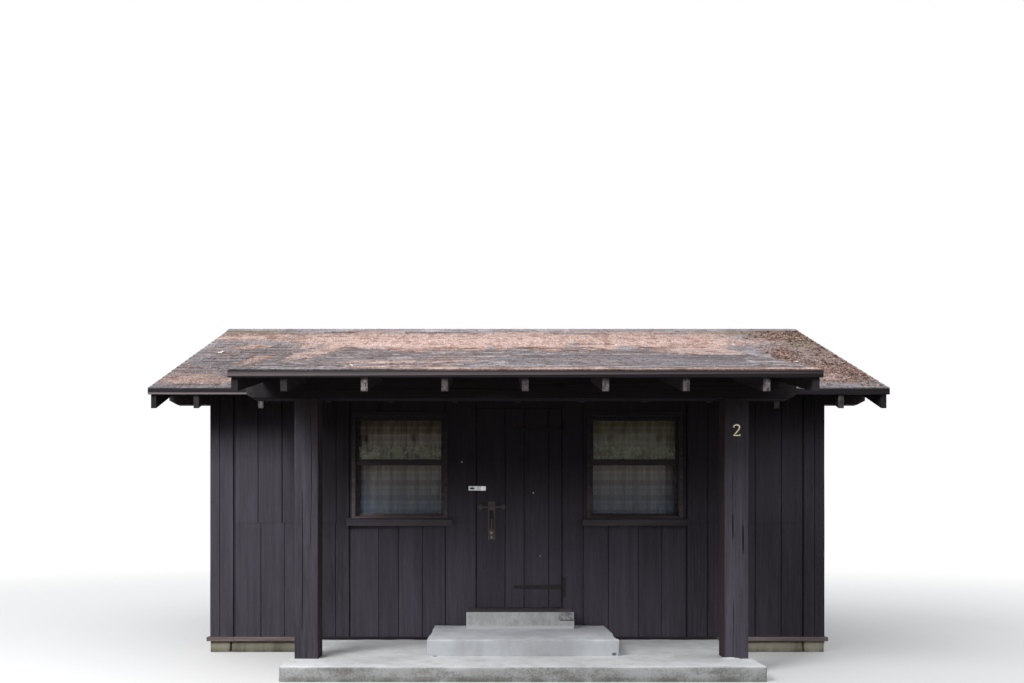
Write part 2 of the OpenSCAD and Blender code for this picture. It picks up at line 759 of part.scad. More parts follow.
// Staple on its plate beside the door
module hasp_staple() color(zinc) {
    half = staple_w / 2;
    reach_y = front_y - staple_reach;
    low = hasp_mid_z - staple_bar / 2;
    high = hasp_mid_z + staple_bar / 2;
    block(
        [staple_x - staple_w, front_y - plate_iron_t, hasp_mid_z - hasp_h / 2],
        [staple_x + half + staple_bar, front_y, hasp_mid_z + hasp_h / 2]);
    for (x = [staple_x - half, staple_x + half - staple_bar])
        block([x, reach_y, low], [x + staple_bar, front_y - plate_iron_t, high]);
    block([staple_x - half, reach_y, low], [staple_x + half, reach_y + staple_bar, high]);
}

module window_frames() color(stain_worn) {
    at_windows() joined_frame(window_w, window_h, frame_side_t, frame_head_t, frame_foot_t,
        -frame_proud, frame_proud + wall_t, window_z);
}

module upper_sashes() color(stain_worn) {
    at_windows() joined_frame(sash_w, upper_sash_h, stile_w, top_rail_h, meeting_rail_h,
        sash_in, sash_t, upper_sash_z);
}

module lower_sashes() color(stain_worn) {
    at_windows() joined_frame(sash_w, lower_sash_h, stile_w, meeting_rail_h, bottom_rail_h,
        lower_sash_in, sash_t, lower_sash_z);
}

module window_glass() color(pane_tint) {
    upper_h = upper_sash_h - top_rail_h - meeting_rail_h;
    upper_z = upper_sash_z + meeting_rail_h;
    lower_z = lower_sash_z + bottom_rail_h;
    at_windows() {
        translate([-glass_w / 2, sash_in + (sash_t - glass_t) / 2, upper_z]) cube([glass_w, glass_t, upper_h]);
        translate([-glass_w / 2, lower_sash_in + (sash_t - glass_t) / 2, lower_z])
            cube([glass_w, glass_t, lower_glass_h]);
    }
}

// Outside sills with a weathered top
module window_sills() color(stain_worn) {
    edge_z = window_z - sill_fall;
    at_windows() along_x(0, sill_l) polygon([
        [0, window_z], [-sill_reach, edge_z], [-sill_reach, edge_z - sill_edge_h], [0, edge_z - sill_edge_h]]);
}

// Rods on two brackets inside each window
module curtain_rods() color(iron_dark) {
    y = wall_t + rod_out;
    z = window_top + rod_rise;
    at_windows() {
        translate([-rod_l / 2, y, z]) rotate([0, 90, 0]) cylinder(r = rod_r, h = rod_l);
        for (x = [-rod_l / 2, rod_l / 2 - rod_r])
            block([x, wall_t, z - rod_r], [x + rod_r, y, z + rod_r]);
    }
}

// Two gathered curtains that hang from each rod
module curtains() color(linen) {
    y = wall_t + rod_out - curtain_t / 2;
    top = window_top + rod_rise - rod_r - cloth_gap;
    half = rod_l / 2 - 2 * rod_r;
    at_windows() for (x = [-half, curtain_gap / 2])
        translate([x, y, top - curtain_h]) cube([half - curtain_gap / 2, curtain_t, curtain_h]);
}

module porch_slab() color(concrete) {
    block([-slab_w / 2, front_y - slab_reach, 0], [slab_w / 2, front_y - mudsill_lip, slab_h]);
}

module porch_step() color(concrete) {
    block(
        [door_x - step_w / 2, front_y - step_reach, slab_h],
        [door_x + step_w / 2, front_y - mudsill_lip, step_top]);
}

module door_step() color(concrete) {
    block(
        [door_x - door_step_w / 2, front_y - door_step_reach, step_top],
        [door_x + door_step_w / 2, front_y, door_step_top]);
}

module porch_posts() color(stain_worn) {
    half = post_s / 2;
    in = half - post_chamfer;
    for (side = [-1, 1]) translate([side * post_spacing / 2, beam_y + half, slab_h])
        linear_extrude(post_h) polygon([
            [-in, -half], [in, -half], [half, -in], [half, in],
            [in, half], [-in, half], [-half, in], [-half, -in]]);
}

module porch_beam() color(stain_worn) {
    half = beam_l / 2;
    along_y(beam_y, post_s) polygon([
        [-half, beam_top], [-half, post_top + beam_bevel], [beam_bevel - half, post_top],
        [half - beam_bevel, post_top], [half, post_top + beam_bevel], [half, beam_top]]);
}

// Outline of a porch rafter: plumb tail, notch over the beam and a long taper on the main roof
module porch_rafter_outline() {
    seat_y = porch_y_at(beam_top, porch_rafter_drop);
    polygon([
        [porch_tail_y, porch_z(porch_tail_y, porch_rafter_top)],
        [porch_tail_y, porch_z(porch_tail_y, porch_rafter_drop)],
        [beam_y, beam_top - porch_notch], [beam_y, beam_top], [seat_y, beam_top],
        meet_point(porch_rafter_drop), meet_point(porch_rafter_top)]);
}

module porch_rafters() color(stain_worn) {
    for (i = [-porch_rafter_side : porch_rafter_side])
        along_x(i * rafter_step, rafter_w) porch_rafter_outline();
    both_sides() along_x(porch_barge_x, rafter_w) porch_rafter_outline();
}

// Outline of a main rafter: plumb tail, notch over the plate and plumb cut at the ridge
module main_rafter_outline(ridge_gap) {
    seat_y = main_y_at(plate_top, main_rafter_drop);
    top_y = ridge_y - ridge_gap;
    polygon([
        [tail_y, main_z(tail_y, main_rafter_top)], [tail_y, main_z(tail_y, main_rafter_drop)],
        [frame_out_y, plate_top - rafter_notch], [frame_out_y, plate_top], [seat_y, plate_top],
        [top_y, main_z(top_y, main_rafter_drop)], [top_y, main_z(top_y, main_rafter_top)]]);
}

// Rafters with plumb tails; under the porch a level cut keeps the tails clear of the door's swing
module main_rafters() color(stain_worn) {
    level = door_high + tail_lift;
    for (i = [0 : rafter_bays]) {
        x = i * rafter_step - (building_w - rafter_w) / 2;
        difference() {
            front_and_rear() along_x(x, rafter_w) main_rafter_outline(ridge_t / 2);
            if (abs(x) <= porch_barge_x)
                block([x - rafter_w, eave_y, level - rafter_h], [x + rafter_w, front_y, level]);
        }
    }
}

module barge_rafters() color(stain_worn) {
    front_and_rear() both_sides() along_x(barge_x, rafter_w) main_rafter_outline(joint_gap / 2);
}

module ridge_board() color(raw_wood) {
    reach = barge_x - rafter_w / 2;
    block([-reach, ridge_y - ridge_t / 2, ridge_low_z], [reach, ridge_y + ridge_t / 2, ridge_high_z]);
}

// Ties from plate to plate beside every other rafter
module tie_beams() color(raw_wood) {
    a = frame_out_y + eave_block_t;
    for (i = [-2, 0, 2]) block(
        [i * rafter_step + rafter_w / 2, a, plate_top],
        [i * rafter_step + rafter_w / 2 + stud_w, 2 * ridge_y - a, plate_top + tie_h]);
}

// Blocks that close the eaves between the rafters
module eave_blocks() color(stain_dark) {
    a = frame_out_y;
    b = a + eave_block_t;
    front_and_rear() for (i = [0 : rafter_bays - 1])
        along_x((i + 0.5) * rafter_step - (building_w - rafter_w) / 2, rafter_step - rafter_w) polygon([
            [a, plate_top], [b, plate_top], [b, main_z(b, main_rafter_top)], [a, main_z(a, main_rafter_top)]]);
}

// Strips that cover the rafter tails under the roof edges, with bevelled tops
module fascia_strips() color(stain_worn) {
    a = tail_y - fascia_t;
    low = main_z(a, main_deck_top) - fascia_h;
    front_and_rear() along_x(0, 2 * roof_half) polygon([
        [a, low], [tail_y, low], [tail_y, main_z(tail_y, main_deck_top)], [a, main_z(a, main_deck_top)]]);
    porch_a = porch_tail_y - fascia_t;
    porch_low = porch_z(porch_a, porch_deck_top) - fascia_h;
    along_x(0, porch_roof_w) polygon([
        [porch_a, porch_low], [porch_tail_y, porch_low],
        [porch_tail_y, porch_z(porch_tail_y, porch_deck_top)],
        [porch_a, porch_z(porch_a, porch_deck_top)]]);
}

// Boards over the main rafters, and over the porch rafters until they run out on the main roof
module roof_boards() color(raw_wood) {
    top_y = ridge_y - joint_gap / 2;
    front_and_rear() along_x(0, 2 * (roof_half - barge_inset / 2)) polygon([
        [tail_y, main_z(tail_y, main_deck_drop)], [top_y, main_z(top_y, main_deck_drop)],
        [top_y, main_z(top_y, main_deck_top)], [tail_y, main_z(tail_y, main_deck_top)]]);
    along_x(0, porch_roof_w - barge_inset) polygon([
        [porch_tail_y, porch_z(porch_tail_y, porch_deck_drop)], meet_point(porch_deck_drop),
        meet_point(porch_deck_top), [porch_tail_y, porch_z(porch_tail_y, porch_deck_top)]]);
}

module main_shingles() color(shingle_grey) {
    top_y = ridge_y - joint_gap / 2;
    front_and_rear() along_x(0, 2 * roof_half) polygon([
        [eave_y, main_z(eave_y, main_shingle_drop)], [top_y, main_z(top_y, main_shingle_drop)],
        [top_y, main_z(top_y, 0)], [eave_y, main_z(eave_y, 0)]]);
}

module porch_shingles() color(shingle_grey) {
    along_x(0, porch_roof_w) polygon([
        [porch_edge_y, porch_z(porch_edge_y, porch_shingle_drop)], meet_point(porch_shingle_drop),
        meet_point(0), [porch_edge_y, porch_z(porch_edge_y, 0)]]);
}

// Two wings that meet over the ridge
module ridge_cap() color(shingle_grey) {
    foot_y = ridge_y - ridge_cap_w / main_stretch;
    peak_y = ridge_y - joint_gap / 2;
    rise = ridge_cap_t * main_stretch + slope_gap;
    front_and_rear() along_x(0, 2 * roof_half) polygon([
        [foot_y, main_z(foot_y, -slope_gap)], [peak_y, main_z(peak_y, -slope_gap)],
        [peak_y, main_z(peak_y, -rise)], [foot_y, main_z(foot_y, -rise)]]);
}

foundation_walls();
corner_piers();
mudsills();
sill_beams();
floor_joists();
floor_boards();
wall_plates();
wall_studs();
wall_headers();
front_siding();
door_bay_siding();
rear_siding();
gable_siding();
corner_boards();
door_frame();
door_planks();
door_ledges();
hinge_straps();
hinge_plates();
door_latch();
hasp_leaf();
hasp_staple();
window_frames();
upper_sashes();
lower_sashes();
window_glass();
window_sills();
curtain_rods();
curtains();
porch_slab();
porch_step();
door_step();
porch_posts();
porch_beam();
porch_rafters();
main_rafters();
barge_rafters();
ridge_board();
tie_beams();
eave_blocks();
fascia_strips();
roof_boards();
main_shingles();
porch_shingles();
ridge_cap();
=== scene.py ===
"""Looks of a small dark timber cabin with a front porch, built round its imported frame.

Metres, +Z up, +X to the right as seen from the porch, the porch towards -Y. The materials come first,
then the CAD nodes that stay, camera and light, and the pieces in groups from the walls outwards.
"""

import math
import random
from itertools import product

import bmesh
import bpy
import numpy as np
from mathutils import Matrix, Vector, noise


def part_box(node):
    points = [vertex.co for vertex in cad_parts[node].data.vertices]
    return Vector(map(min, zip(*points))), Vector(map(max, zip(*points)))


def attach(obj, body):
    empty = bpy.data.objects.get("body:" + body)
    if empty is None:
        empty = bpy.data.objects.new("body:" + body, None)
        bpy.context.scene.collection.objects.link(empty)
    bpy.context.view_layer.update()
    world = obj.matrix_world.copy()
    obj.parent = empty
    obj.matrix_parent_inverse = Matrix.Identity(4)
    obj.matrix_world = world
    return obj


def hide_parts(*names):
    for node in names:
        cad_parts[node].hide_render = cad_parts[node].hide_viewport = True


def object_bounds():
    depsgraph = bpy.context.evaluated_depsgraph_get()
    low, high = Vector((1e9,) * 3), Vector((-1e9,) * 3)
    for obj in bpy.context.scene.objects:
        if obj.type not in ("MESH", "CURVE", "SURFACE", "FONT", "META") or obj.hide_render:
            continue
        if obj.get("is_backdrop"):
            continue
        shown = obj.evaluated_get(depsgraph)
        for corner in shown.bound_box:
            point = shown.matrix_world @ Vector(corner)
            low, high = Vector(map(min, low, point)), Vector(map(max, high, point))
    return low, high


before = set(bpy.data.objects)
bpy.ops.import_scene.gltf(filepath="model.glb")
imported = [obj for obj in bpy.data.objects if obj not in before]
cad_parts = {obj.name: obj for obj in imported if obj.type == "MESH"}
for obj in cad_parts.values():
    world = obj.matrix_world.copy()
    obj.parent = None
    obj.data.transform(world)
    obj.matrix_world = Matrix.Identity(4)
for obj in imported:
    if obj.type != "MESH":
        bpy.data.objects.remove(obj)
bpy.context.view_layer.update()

# Places that the frame doesn't name
MAIN_PITCH = 0.4167
PORCH_PITCH = 0.24
WINDOW_X = 1.165
HASP_FOOT_Z = 1.56
SHADED_IRON_Z = 1.5


# ---------------------------------------------------------------- solids

class Solids:
    """Vertices, faces and tones of closed solids that become one piece."""

    def __init__(self, seed=0):
        self.points = []
        self.faces = []
        self.marks = {"tone": [], "bare": []}
        self.random = random.Random(seed)

    def vary(self, most):
        """A random number from -most to most."""
        return self.random.uniform(-most, most)

    def add(self, points, faces, tone=0.0, bare=0.0):
        """tone and bare are one number, or a list that repeats over the points."""
        first = len(self.points)
        self.points.extend(points)
        self.faces.extend([first + i for i in face] for face in faces)
        for name, value in (("tone", tone), ("bare", bare)):
            values = value if isinstance(value, list) else [value]
            self.marks[name].extend(values * (len(points) // len(values)))

    def sweep(self, rings, tone=0.0, bare=0.0):
        """A solid through rings of equally many points, closed at both ends."""
        n = len(rings[0])
        last = (len(rings) - 1) * n
        faces = [(r + i, r + (i + 1) % n, r + n + (i + 1) % n, r + n + i)
                 for r in range(0, last, n) for i in range(n)]
        faces.append(tuple(range(n - 1, -1, -1)))
        faces.append(tuple(range(last, last + n)))
        self.add([p for ring in rings for p in ring], faces, tone, bare)

    def block(self, low, high, tone=0.0):
        """A box between two corners."""
        (a, b, c), (d, e, f) = low, high
        self.sweep([[(a, b, z), (d, b, z), (d, e, z), (a, e, z)] for z in (c, f)], tone)

    def piece(self, name, material, replaces=(), body="cabin", smooth=None):
        """The solids as one piece, shaded smooth below an angle in degrees if one is given."""
        mesh = bpy.data.meshes.new(name)
        mesh.from_pydata(self.points, [], self.faces)
        form = bmesh.new()
        form.from_mesh(mesh)
        bmesh.ops.recalc_face_normals(form, faces=form.faces)
        form.to_mesh(mesh)
        form.free()
        if smooth:
            mesh.shade_smooth()
            mesh.set_sharp_from_angle(angle=math.radians(smooth))
        for mark, values in self.marks.items():
            mesh.attributes.new(mark, "FLOAT", "POINT").data.foreach_set("value", values)
        add_piece(mesh, material, replaces, body)


def stand(data, location=(0, 0, 0)):
    """A new object with the name of its data."""
    made = bpy.data.objects.new(data.name, data)
    made.location = location
    bpy.context.scene.collection.objects.link(made)
    return made


def add_piece(data, material, replaces=(), body="cabin"):
    """A new piece of one material on a body; it replaces CAD nodes if any are given."""
    made = stand(data)
    data.materials.append(materials[material])
    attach(made, body)
    if replaces:
        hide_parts(*replaces)
    return made


def wander(x, y, z=0.0):
    """Smooth noise from -1 to 1."""
    return noise.noise(Vector((x, y, z)))


def spread(low, high, count):
    """Evenly spaced places from low to high, both included."""
    return [low + (high - low) * k / count for k in range(count + 1)]


def courses(low, high, mean):
    """Equal parts of about a mean width between two places, each (start, end)."""
    count = round((high - low) / mean)
    step = (high - low) / count
    return [(low + i * step, low + i * step + step) for i in range(count)]


# ---------------------------------------------------------------- node trees

SOCKETS = {"metallic": "Metallic", "specular": "Specular IOR Level", "sheen": "Sheen Weight"}


class Field:
    """A node's output, a number or colour that varies over a surface. Arithmetic on it adds nodes."""

    def __init__(self, shade, socket):
        self.shade = shade
        self.socket = socket

    def __add__(self, other):
        return self.shade.math("ADD", self, other)

    def __mul__(self, other):
        return self.shade.math("MULTIPLY", self, other)

    def __sub__(self, other):
        return self.shade.math("SUBTRACT", self, other)

    def __rsub__(self, other):
        return self.shade.math("SUBTRACT", other, self)

    def __abs__(self):
        return self.shade.math("ABSOLUTE", self)

    __radd__ = __add__

    def span(self, low, high, to_low=0.0, to_high=1.0):
        """How far it is from low to high, clamped, as a number from to_low to to_high."""
        return self.shade.add("MapRange", {
            "Value": self, "From Min": low, "From Max": high, "To Min": to_low, "To Max": to_high}, "Result")


class Shade:
    """A material's or world's node tree, with short calls that add and link nodes."""

    def __init__(self, owner):
        owner.use_nodes = True
        self.owner = owner
        self.tree = owner.node_tree
        self.surface = self.tree.nodes.get("Principled BSDF")

    @classmethod
    def material(cls, name):
        """The tree of a new material."""
        return cls(bpy.data.materials.new(name))

    def put(self, socket, value):
        """Links a field to a socket, or sets a number or colour on it."""
        if isinstance(value, Field):
            self.tree.links.new(value.socket, socket)
        elif socket.type == "RGBA":
            socket.default_value = (*value, 1)
        else:
            socket.default_value = value

    def add(self, kind, inputs=(), output=0, **settings):
        """One output of a new node."""
        made = self.tree.nodes.new("ShaderNode" + kind)
        for key, value in settings.items():
            setattr(made, key, value)
        for key, value in dict(inputs).items():
            self.put(made.inputs[key], value)
        return Field(self, made.outputs[output])

    def place(self, scale=(1, 1, 1)):
        """Place on the object, stretched."""
        return self.add("Mapping", {"Vector": self.add("TexCoord", output="Object"), "Scale": scale})

    def part(self, vector, index):
        return self.add("SeparateXYZ", {0: vector}, index)

    def axis(self, index):
        """The place on the object along an axis."""
        return self.part(self.add("TexCoord", output="Object"), index)

    def facing(self, index):
        """How far the surface faces along an axis."""
        return self.part(self.add("NewGeometry", output="Normal"), index)

    def mark(self, name):
        """A number that a piece's points carry; 0 where they carry none."""
        return self.add("Attribute", output="Fac", attribute_name=name)

    def noise(self, scale, stretch=(1, 1, 1), detail=4, roughness=0.55, distortion=0):
        return self.add("TexNoise", {
            "Vector": self.place(stretch), "Scale": scale, "Detail": detail,
            "Roughness": roughness, "Distortion": distortion}, "Fac")

    def cells(self, scale):
        return self.add("TexVoronoi", {"Vector": self.place(), "Scale": scale}, "Distance")

    def math(self, operation, a, b=0.0, clamp=False):
        return self.add("Math", {0: a, 1: b}, operation=operation, use_clamp=clamp)

    def largest(self, first, *others):
        for value in others:
            first = self.math("MAXIMUM", first, value)
        return first

    def mix(self, a, b, share, blend="MIX"):
        return self.add("Mix", {0: share, 6: a, 7: b}, 2, data_type="RGBA", blend_type=blend)

    def dim(self, color, factor):
        """The colour times a number."""
        grey = self.add("CombineColor", {0: factor, 1: factor, 2: factor})
        return self.mix(color, grey, 1.0, "MULTIPLY")

    def bump(self, height, distance, strength):
        return self.add("Bump", {"Height": height, "Distance": distance, "Strength": strength})

    def blend(self, share, first, second):
        return self.add("MixShader", {0: share, 1: first, 2: second})

    def lit(self):
        """The tree's own surface shader."""
        return Field(self, self.surface.outputs[0])

    def show(self, shader, end="Material Output"):
        self.put(self.tree.nodes[end].inputs["Surface"], shader)

    def finish(self, color, roughness, normal=None, **sockets):
        """Sets or links the surface shader's sockets; returns the material."""
        self.put(self.surface.inputs["Base Color"], color)
        self.put(self.surface.inputs["Roughness"], roughness)
        if normal is not None:
            self.put(self.surface.inputs["Normal"], normal)
        for key, value in sockets.items():
            self.put(self.surface.inputs[SOCKETS[key]], value)
        return self.owner


# ---------------------------------------------------------------- colours and places of the materials

RAW_WOOD = (0.42, 0.29, 0.18)
STAIN = (0.028, 0.0235, 0.029)
STAIN_LIGHT = (0.060, 0.053, 0.067)
STAIN_WORN = (0.112, 0.101, 0.130)
RED_SIDE_SHADE = (0.052, 0.026, 0.023)
# Darker copies of the stain for the roof timbers: painted shade
SHADED_ROOF_STAIN = (0.014, 0.012, 0.0135)
SHADED_ROOF_STAIN_LIGHT = (0.032, 0.028, 0.033)
BEAM_WORN = (0.09, 0.078, 0.078)
GREY_WOOD = (0.33, 0.29, 0.29)

CONCRETE = (0.51, 0.52, 0.545)
DAMP = (0.34, 0.33, 0.32)
MORTAR = (0.60, 0.60, 0.61)
UNDER_DOOR_SHADE = (0.055, 0.05, 0.052)
WET_STAIN = (0.16, 0.14, 0.155)
CRACK = (0.03, 0.028, 0.03)

# Film on the panes: dust and pollen, in colours that are painted reflections of the sky and of leaves
DUST_SKY_REFLECTION = (0.18, 0.28, 0.44)
POLLEN_LEAF_REFLECTION = (0.50, 0.56, 0.40)
LOWER_DUST_REFLECTION = 0.34
DUST_REFLECTION_FOOT = 1.38
DUST_REFLECTION_TOP = 1.86
UPPER_POLLEN_REFLECTION = 0.5
RIGHT_HAZE_REFLECTION = 0.12
MEETING_Z = 1.90

# Rafter ends, each (x, how far its stain is lost)
PORCH_ENDS = ((-1.82, 0.06), (-1.21, 1.4), (-0.61, 0.6), (0.0, 0.3), (0.61, 0.7), (1.2, 0.55), (1.82, 0.95))
MAIN_ENDS = ((-2.4, 0.6), (2.42, 0.2), (3.02, 0.5))

RIDGE_Y = 0.85
EAVE_Y = -1.805
COURSE_Y = 0.1292

# Places on the roofs, each (x, y, half length, half depth)
NEEDLE_DRIFTS = (
    (-2.0, -1.3, 0.16, 1.2), (1.95, -1.0, 0.5, 0.7), (-3.1, -1.5, 0.5, 0.16), (-2.9, 0.35, 0.7, 0.14),
    (-2.9, -0.12, 0.2, 0.10), (3.1, -1.3, 0.4, 0.3), (-2.75, -0.75, 0.2, 0.25), (0.0, 0.2, 2.6, 0.35))
BARE_PATCHES = (
    (-3.2, 0.02, 0.2, 0.13), (-2.7, -0.35, 0.3, 0.16), (-3.05, -0.72, 0.26, 0.2), (0.9, 0.02, 0.35, 0.06),
    (0.9, -2.4, 1.1, 0.8), (-3.0, -1.16, 0.4, 0.10), (-0.9, 0.60, 0.7, 0.05), (0.8, 0.58, 0.45, 0.05),
    (-2.1, 0.60, 0.3, 0.05), (1.9, 0.55, 0.35, 0.05))
LEAF_DRIFTS = ((3.3, -0.4, 0.38, 0.9), (3.25, -1.2, 0.3, 0.4), (2.9, -0.55, 0.12, 0.3))
MOSS_PATCHES = (
    (3.25, 0.45, 0.42, 0.24), (2.6, 0.6, 0.5, 0.07), (-3.1, 0.62, 0.5, 0.1), (3.25, 0.0, 0.2, 0.2))


def scaled(color, factor):
    """A colour that is darker or lighter all over."""
    return tuple(factor * v for v in color)


# ---------------------------------------------------------------- where wood is worn, and painted light and shade

# Places and heights are in metres. In span(low, high, to_low, to_high) the last two are shares.

def behind_posts(s, outer, inner):
    """1 on the front wall between the porch posts."""
    return abs(s.axis(0)).span(outer, inner) * s.axis(1).span(1.0, 0.0)


def wall_fading_and_light(s):
    """Partly faded stain, partly painted light: paler below the eaves, more on the open left side where the
    light comes from, and most round the door.
    """
    x, z = s.axis(0), s.axis(2)
    porch = behind_posts(s, 2.15, 2.0)
    below_eaves = z.span(2.35, 1.85)
    low_down = x.span(2.6, -2.6, 0.08, 0.45)
    outside = below_eaves * z.span(0.8, 1.5, low_down, 0.46)
    round_door = abs(x).span(1.75, 1.1, 0.12, 1.0)
    less_at_foot = z.span(0.4, 1.2, 0.75, 1.0)
    less_at_right = x.span(-0.4, 0.6, 1.0, 0.72)
    return outside * (1.0 - porch) + round_door * less_at_foot * less_at_right * porch


def painted_shade_under_roofs(s):
    """Painted shade: the stain is darkened close under the eaves, and further down behind the porch."""
    z = s.axis(2)
    porch = behind_posts(s, 2.35, 2.05)
    deep = porch * z.span(1.38, 1.9, 0.0, 0.85)
    left_of_window = s.axis(0).span(-1.66, -1.70) * porch * z.span(1.0, 1.9, 0.1, 1.0)
    eaves = z.span(2.1, 2.45, 0.0, 0.85)
    return s.largest(deep, left_of_window, eaves)


def window_painted_shade(s):
    """Painted shade: windows take more of the dark stain colour high up."""
    return s.axis(2).span(1.5, 2.3, 0.0, 0.7)


def sash_fading_and_light(s):
    """Partly faded stain, partly painted light: lower sashes are paler, the right window's less."""
    lower_sash = s.axis(2).span(1.85, 1.35, 0.05, 0.75)
    less_at_right = s.axis(0).span(0.3, 0.9, 1.0, 0.4)
    return lower_sash * less_at_right


def bare_edge(s):
    """1 along the lower edge of the main eave's fascia, left of the porch."""
    y = s.axis(1)
    low_down = s.axis(2).span(2.503, 2.497)
    left = s.axis(0).span(-1.2, -1.8)
    return low_down * left * y.span(0.0, -0.5) * y.span(-3.0, -2.9)


def fascia_fading(s):
    """The porch fascia is palest low down, the left end more."""
    low_down = s.axis(2).span(2.426, 2.396) * s.axis(1).span(-2.9, -3.0)
    less_at_right = s.axis(0).span(0.6, 2.0, 0.7, 0.36)
    return low_down * less_at_right + bare_edge(s) * 2.0


def painted_fascia_shade(s):
    """Painted shade: the main eave's fascia takes the dark stain colour, and the porch's along its two edges.
    """
    y, z = s.axis(1), s.axis(2)
    level = z - s.axis(0) * 0.0042
    edges = s.largest(level.span(2.397, 2.394), z.span(2.412, 2.424, 0.0, 0.6))
    main = y.span(-3.0, -2.9, 0.0, 0.85) * (1.0 - bare_edge(s))
    return s.largest(main, edges * y.span(-2.9, -3.0))


def painted_beam_shade(s):
    """Painted shade: the beam's underside takes the dark stain colour."""
    return s.axis(2).span(2.354, 2.347)


def darker_between_posts(s):
    """The planks under the siding take the dark stain colour between the posts."""
    return behind_posts(s, 2.02, 1.96) * 0.95


def post_painted_light(s):
    """Painted light: the posts are paler above the splashes, the left one more, and less so close under the
    beam.
    """
    x, z = s.axis(0), s.axis(2)
    middle = z.span(0.3, 1.3, 0.03, 0.25)
    upper = z.span(1.4, 2.0, 0.0, 0.58) * x.span(1.0, -1.0, 0.6, 1.0)
    right_post = x.span(1.0, -1.0, 0.17, 0.0)
    less_under_beam = z.span(2.3, 2.12, 0.2, 1.0)
    return (middle + upper + right_post) * less_under_beam


def end_fading(axis, start, reach, ends=None):
    """Ends past a distance from the middle have lost their stain in flakes.

    ends gives each rafter's (x, share lost) where they differ."""
    def faded(s):
        share = 0.0 if ends else 0.6
        for at, lost in ends or ():
            share = s.largest(abs(s.axis(0) - at).span(0.06, 0.05, 0.0, lost), share)
        flakes = s.noise(38, (1, 1, 0.5), 5, 0.8).span(0.42, 0.58, 0.15, 1.0)
        return abs(s.axis(axis)).span(start, start + reach) * flakes * share
    return faded


# ---------------------------------------------------------------- materials

GRAIN = {"x": (0.045, 1, 1), "y": (1, 0.045, 1), "z": (1, 1, 0.045)}


def wood(name, along, colors, wear=0.5, faded=None, kept=None, relief=0.002, red_side_shade=0.0):
    """Wood with its grain along an axis, in a dark, a light and a worn colour, with a tone for each board.

    faded(s) gives how far a place is paler beyond its chance wear: fading, and painted light on some woods;
    kept(s) how far it takes a dimmed stain colour, mostly painted shade. The red-sides share is how far
    the faces to the left and right are darker and redder: painted shade on the sides."""
    s = Shade.material(name)
    dark, light, worn = colors
    stretch = GRAIN[along]
    grain = s.noise(55, stretch, 6, 0.65, 0.4)
    fibre = s.noise(260, stretch, 3, 0.7)
    streak = s.noise(16, stretch, 5, 0.7)
    patch = s.noise(2.2, tuple(math.sqrt(v) for v in stretch), 5, 0.6)
    tone = s.mark("tone")
    worn_share = (streak * patch + tone * 0.35).span(0.2, 0.5, 0.0, wear)
    if faded:
        worn_share = s.math("ADD", worn_share, faded(s) * streak.span(0.2, 0.65, 0.35, 1.0), clamp=True)
    color = s.mix(s.mix(dark, light, grain.span(0.3, 0.72)), worn, worn_share)
    color = s.dim(color, fibre.span(0.2, 0.8, 0.82, 1.15) + tone)
    # kept(s) mixes in a dimmed stain: mostly painted shade
    if kept:
        color = s.mix(color, s.dim(STAIN, grain.span(0.3, 0.7, 0.35, 0.75)), kept(s))
    # Painted shade: the faces to the left and right are darker and redder
    if red_side_shade:
        shaded_side = s.mix(RED_SIDE_SHADE, STAIN, grain.span(0.35, 0.7))
        color = s.mix(color, shaded_side, abs(s.facing(0)).span(0.6, 0.9, 0.0, red_side_shade))
    bare = s.mix(RAW_WOOD, scaled(RAW_WOOD, 0.6), grain.span(0.35, 0.7))
    color = s.mix(color, bare, s.mark("bare"))
    relief_of = s.bump(grain * 0.7 + fibre * 0.3, relief, 0.6)
    return s.finish(color, streak.span(0.3, 0.7, 0.6, 0.82), relief_of, specular=0.12)


def chip_shade_spot(*place):
    """Painted shade: a small dark spot at a place, standing for the shade in a chip."""
    def marked(s, color):
        far = s.add("VectorMath", {0: s.place((1, 1, 1.6)), 1: place}, "Value", operation="DISTANCE")
        return s.dim(color, (far + s.noise(60) * 0.02).span(0.024, 0.036, 0.2, 1.0))
    return marked


def door_step_marks(s, color):
    """Painted shade on top, under the door, a strip of paler mortar along the foot, and a stained right end
    with a crack.
    """
    x, z = s.axis(0), s.axis(2)
    ragged = s.noise(22, detail=5, roughness=0.7)
    mottle = s.noise(16, (1, 1, 0.6), 5, 0.75)
    foot = (z + ragged * 0.012).span(0.309, 0.303)
    # Painted shade: the top is darkened under the door
    top = z.span(0.4275, 0.4315, 0.0, 0.92)
    right = (x + ragged * 0.2).span(0.495, 0.525)
    stained = right * z.span(0.349, 0.355) * ragged.span(0.40, 0.56, 0.1, 1.0)
    crack = right * abs(z - 0.352).span(0.006, 0.003)
    color = s.dim(color, mottle.span(0.32, 0.68, 0.78, 1.22))
    for mark, share in ((MORTAR, foot), (UNDER_DOOR_SHADE, top), (WET_STAIN, stained * 0.75), (CRACK, crack * 0.9)):
        color = s.mix(color, mark, share)
    return color


def painted_light_right(s, color):
    """Painted light: the front footing is paler towards its right end."""
    front = s.axis(1).span(0.0, -1.0)
    return s.dim(color, (front * s.axis(0)).span(1.5, 2.4, 1.0, 1.5))


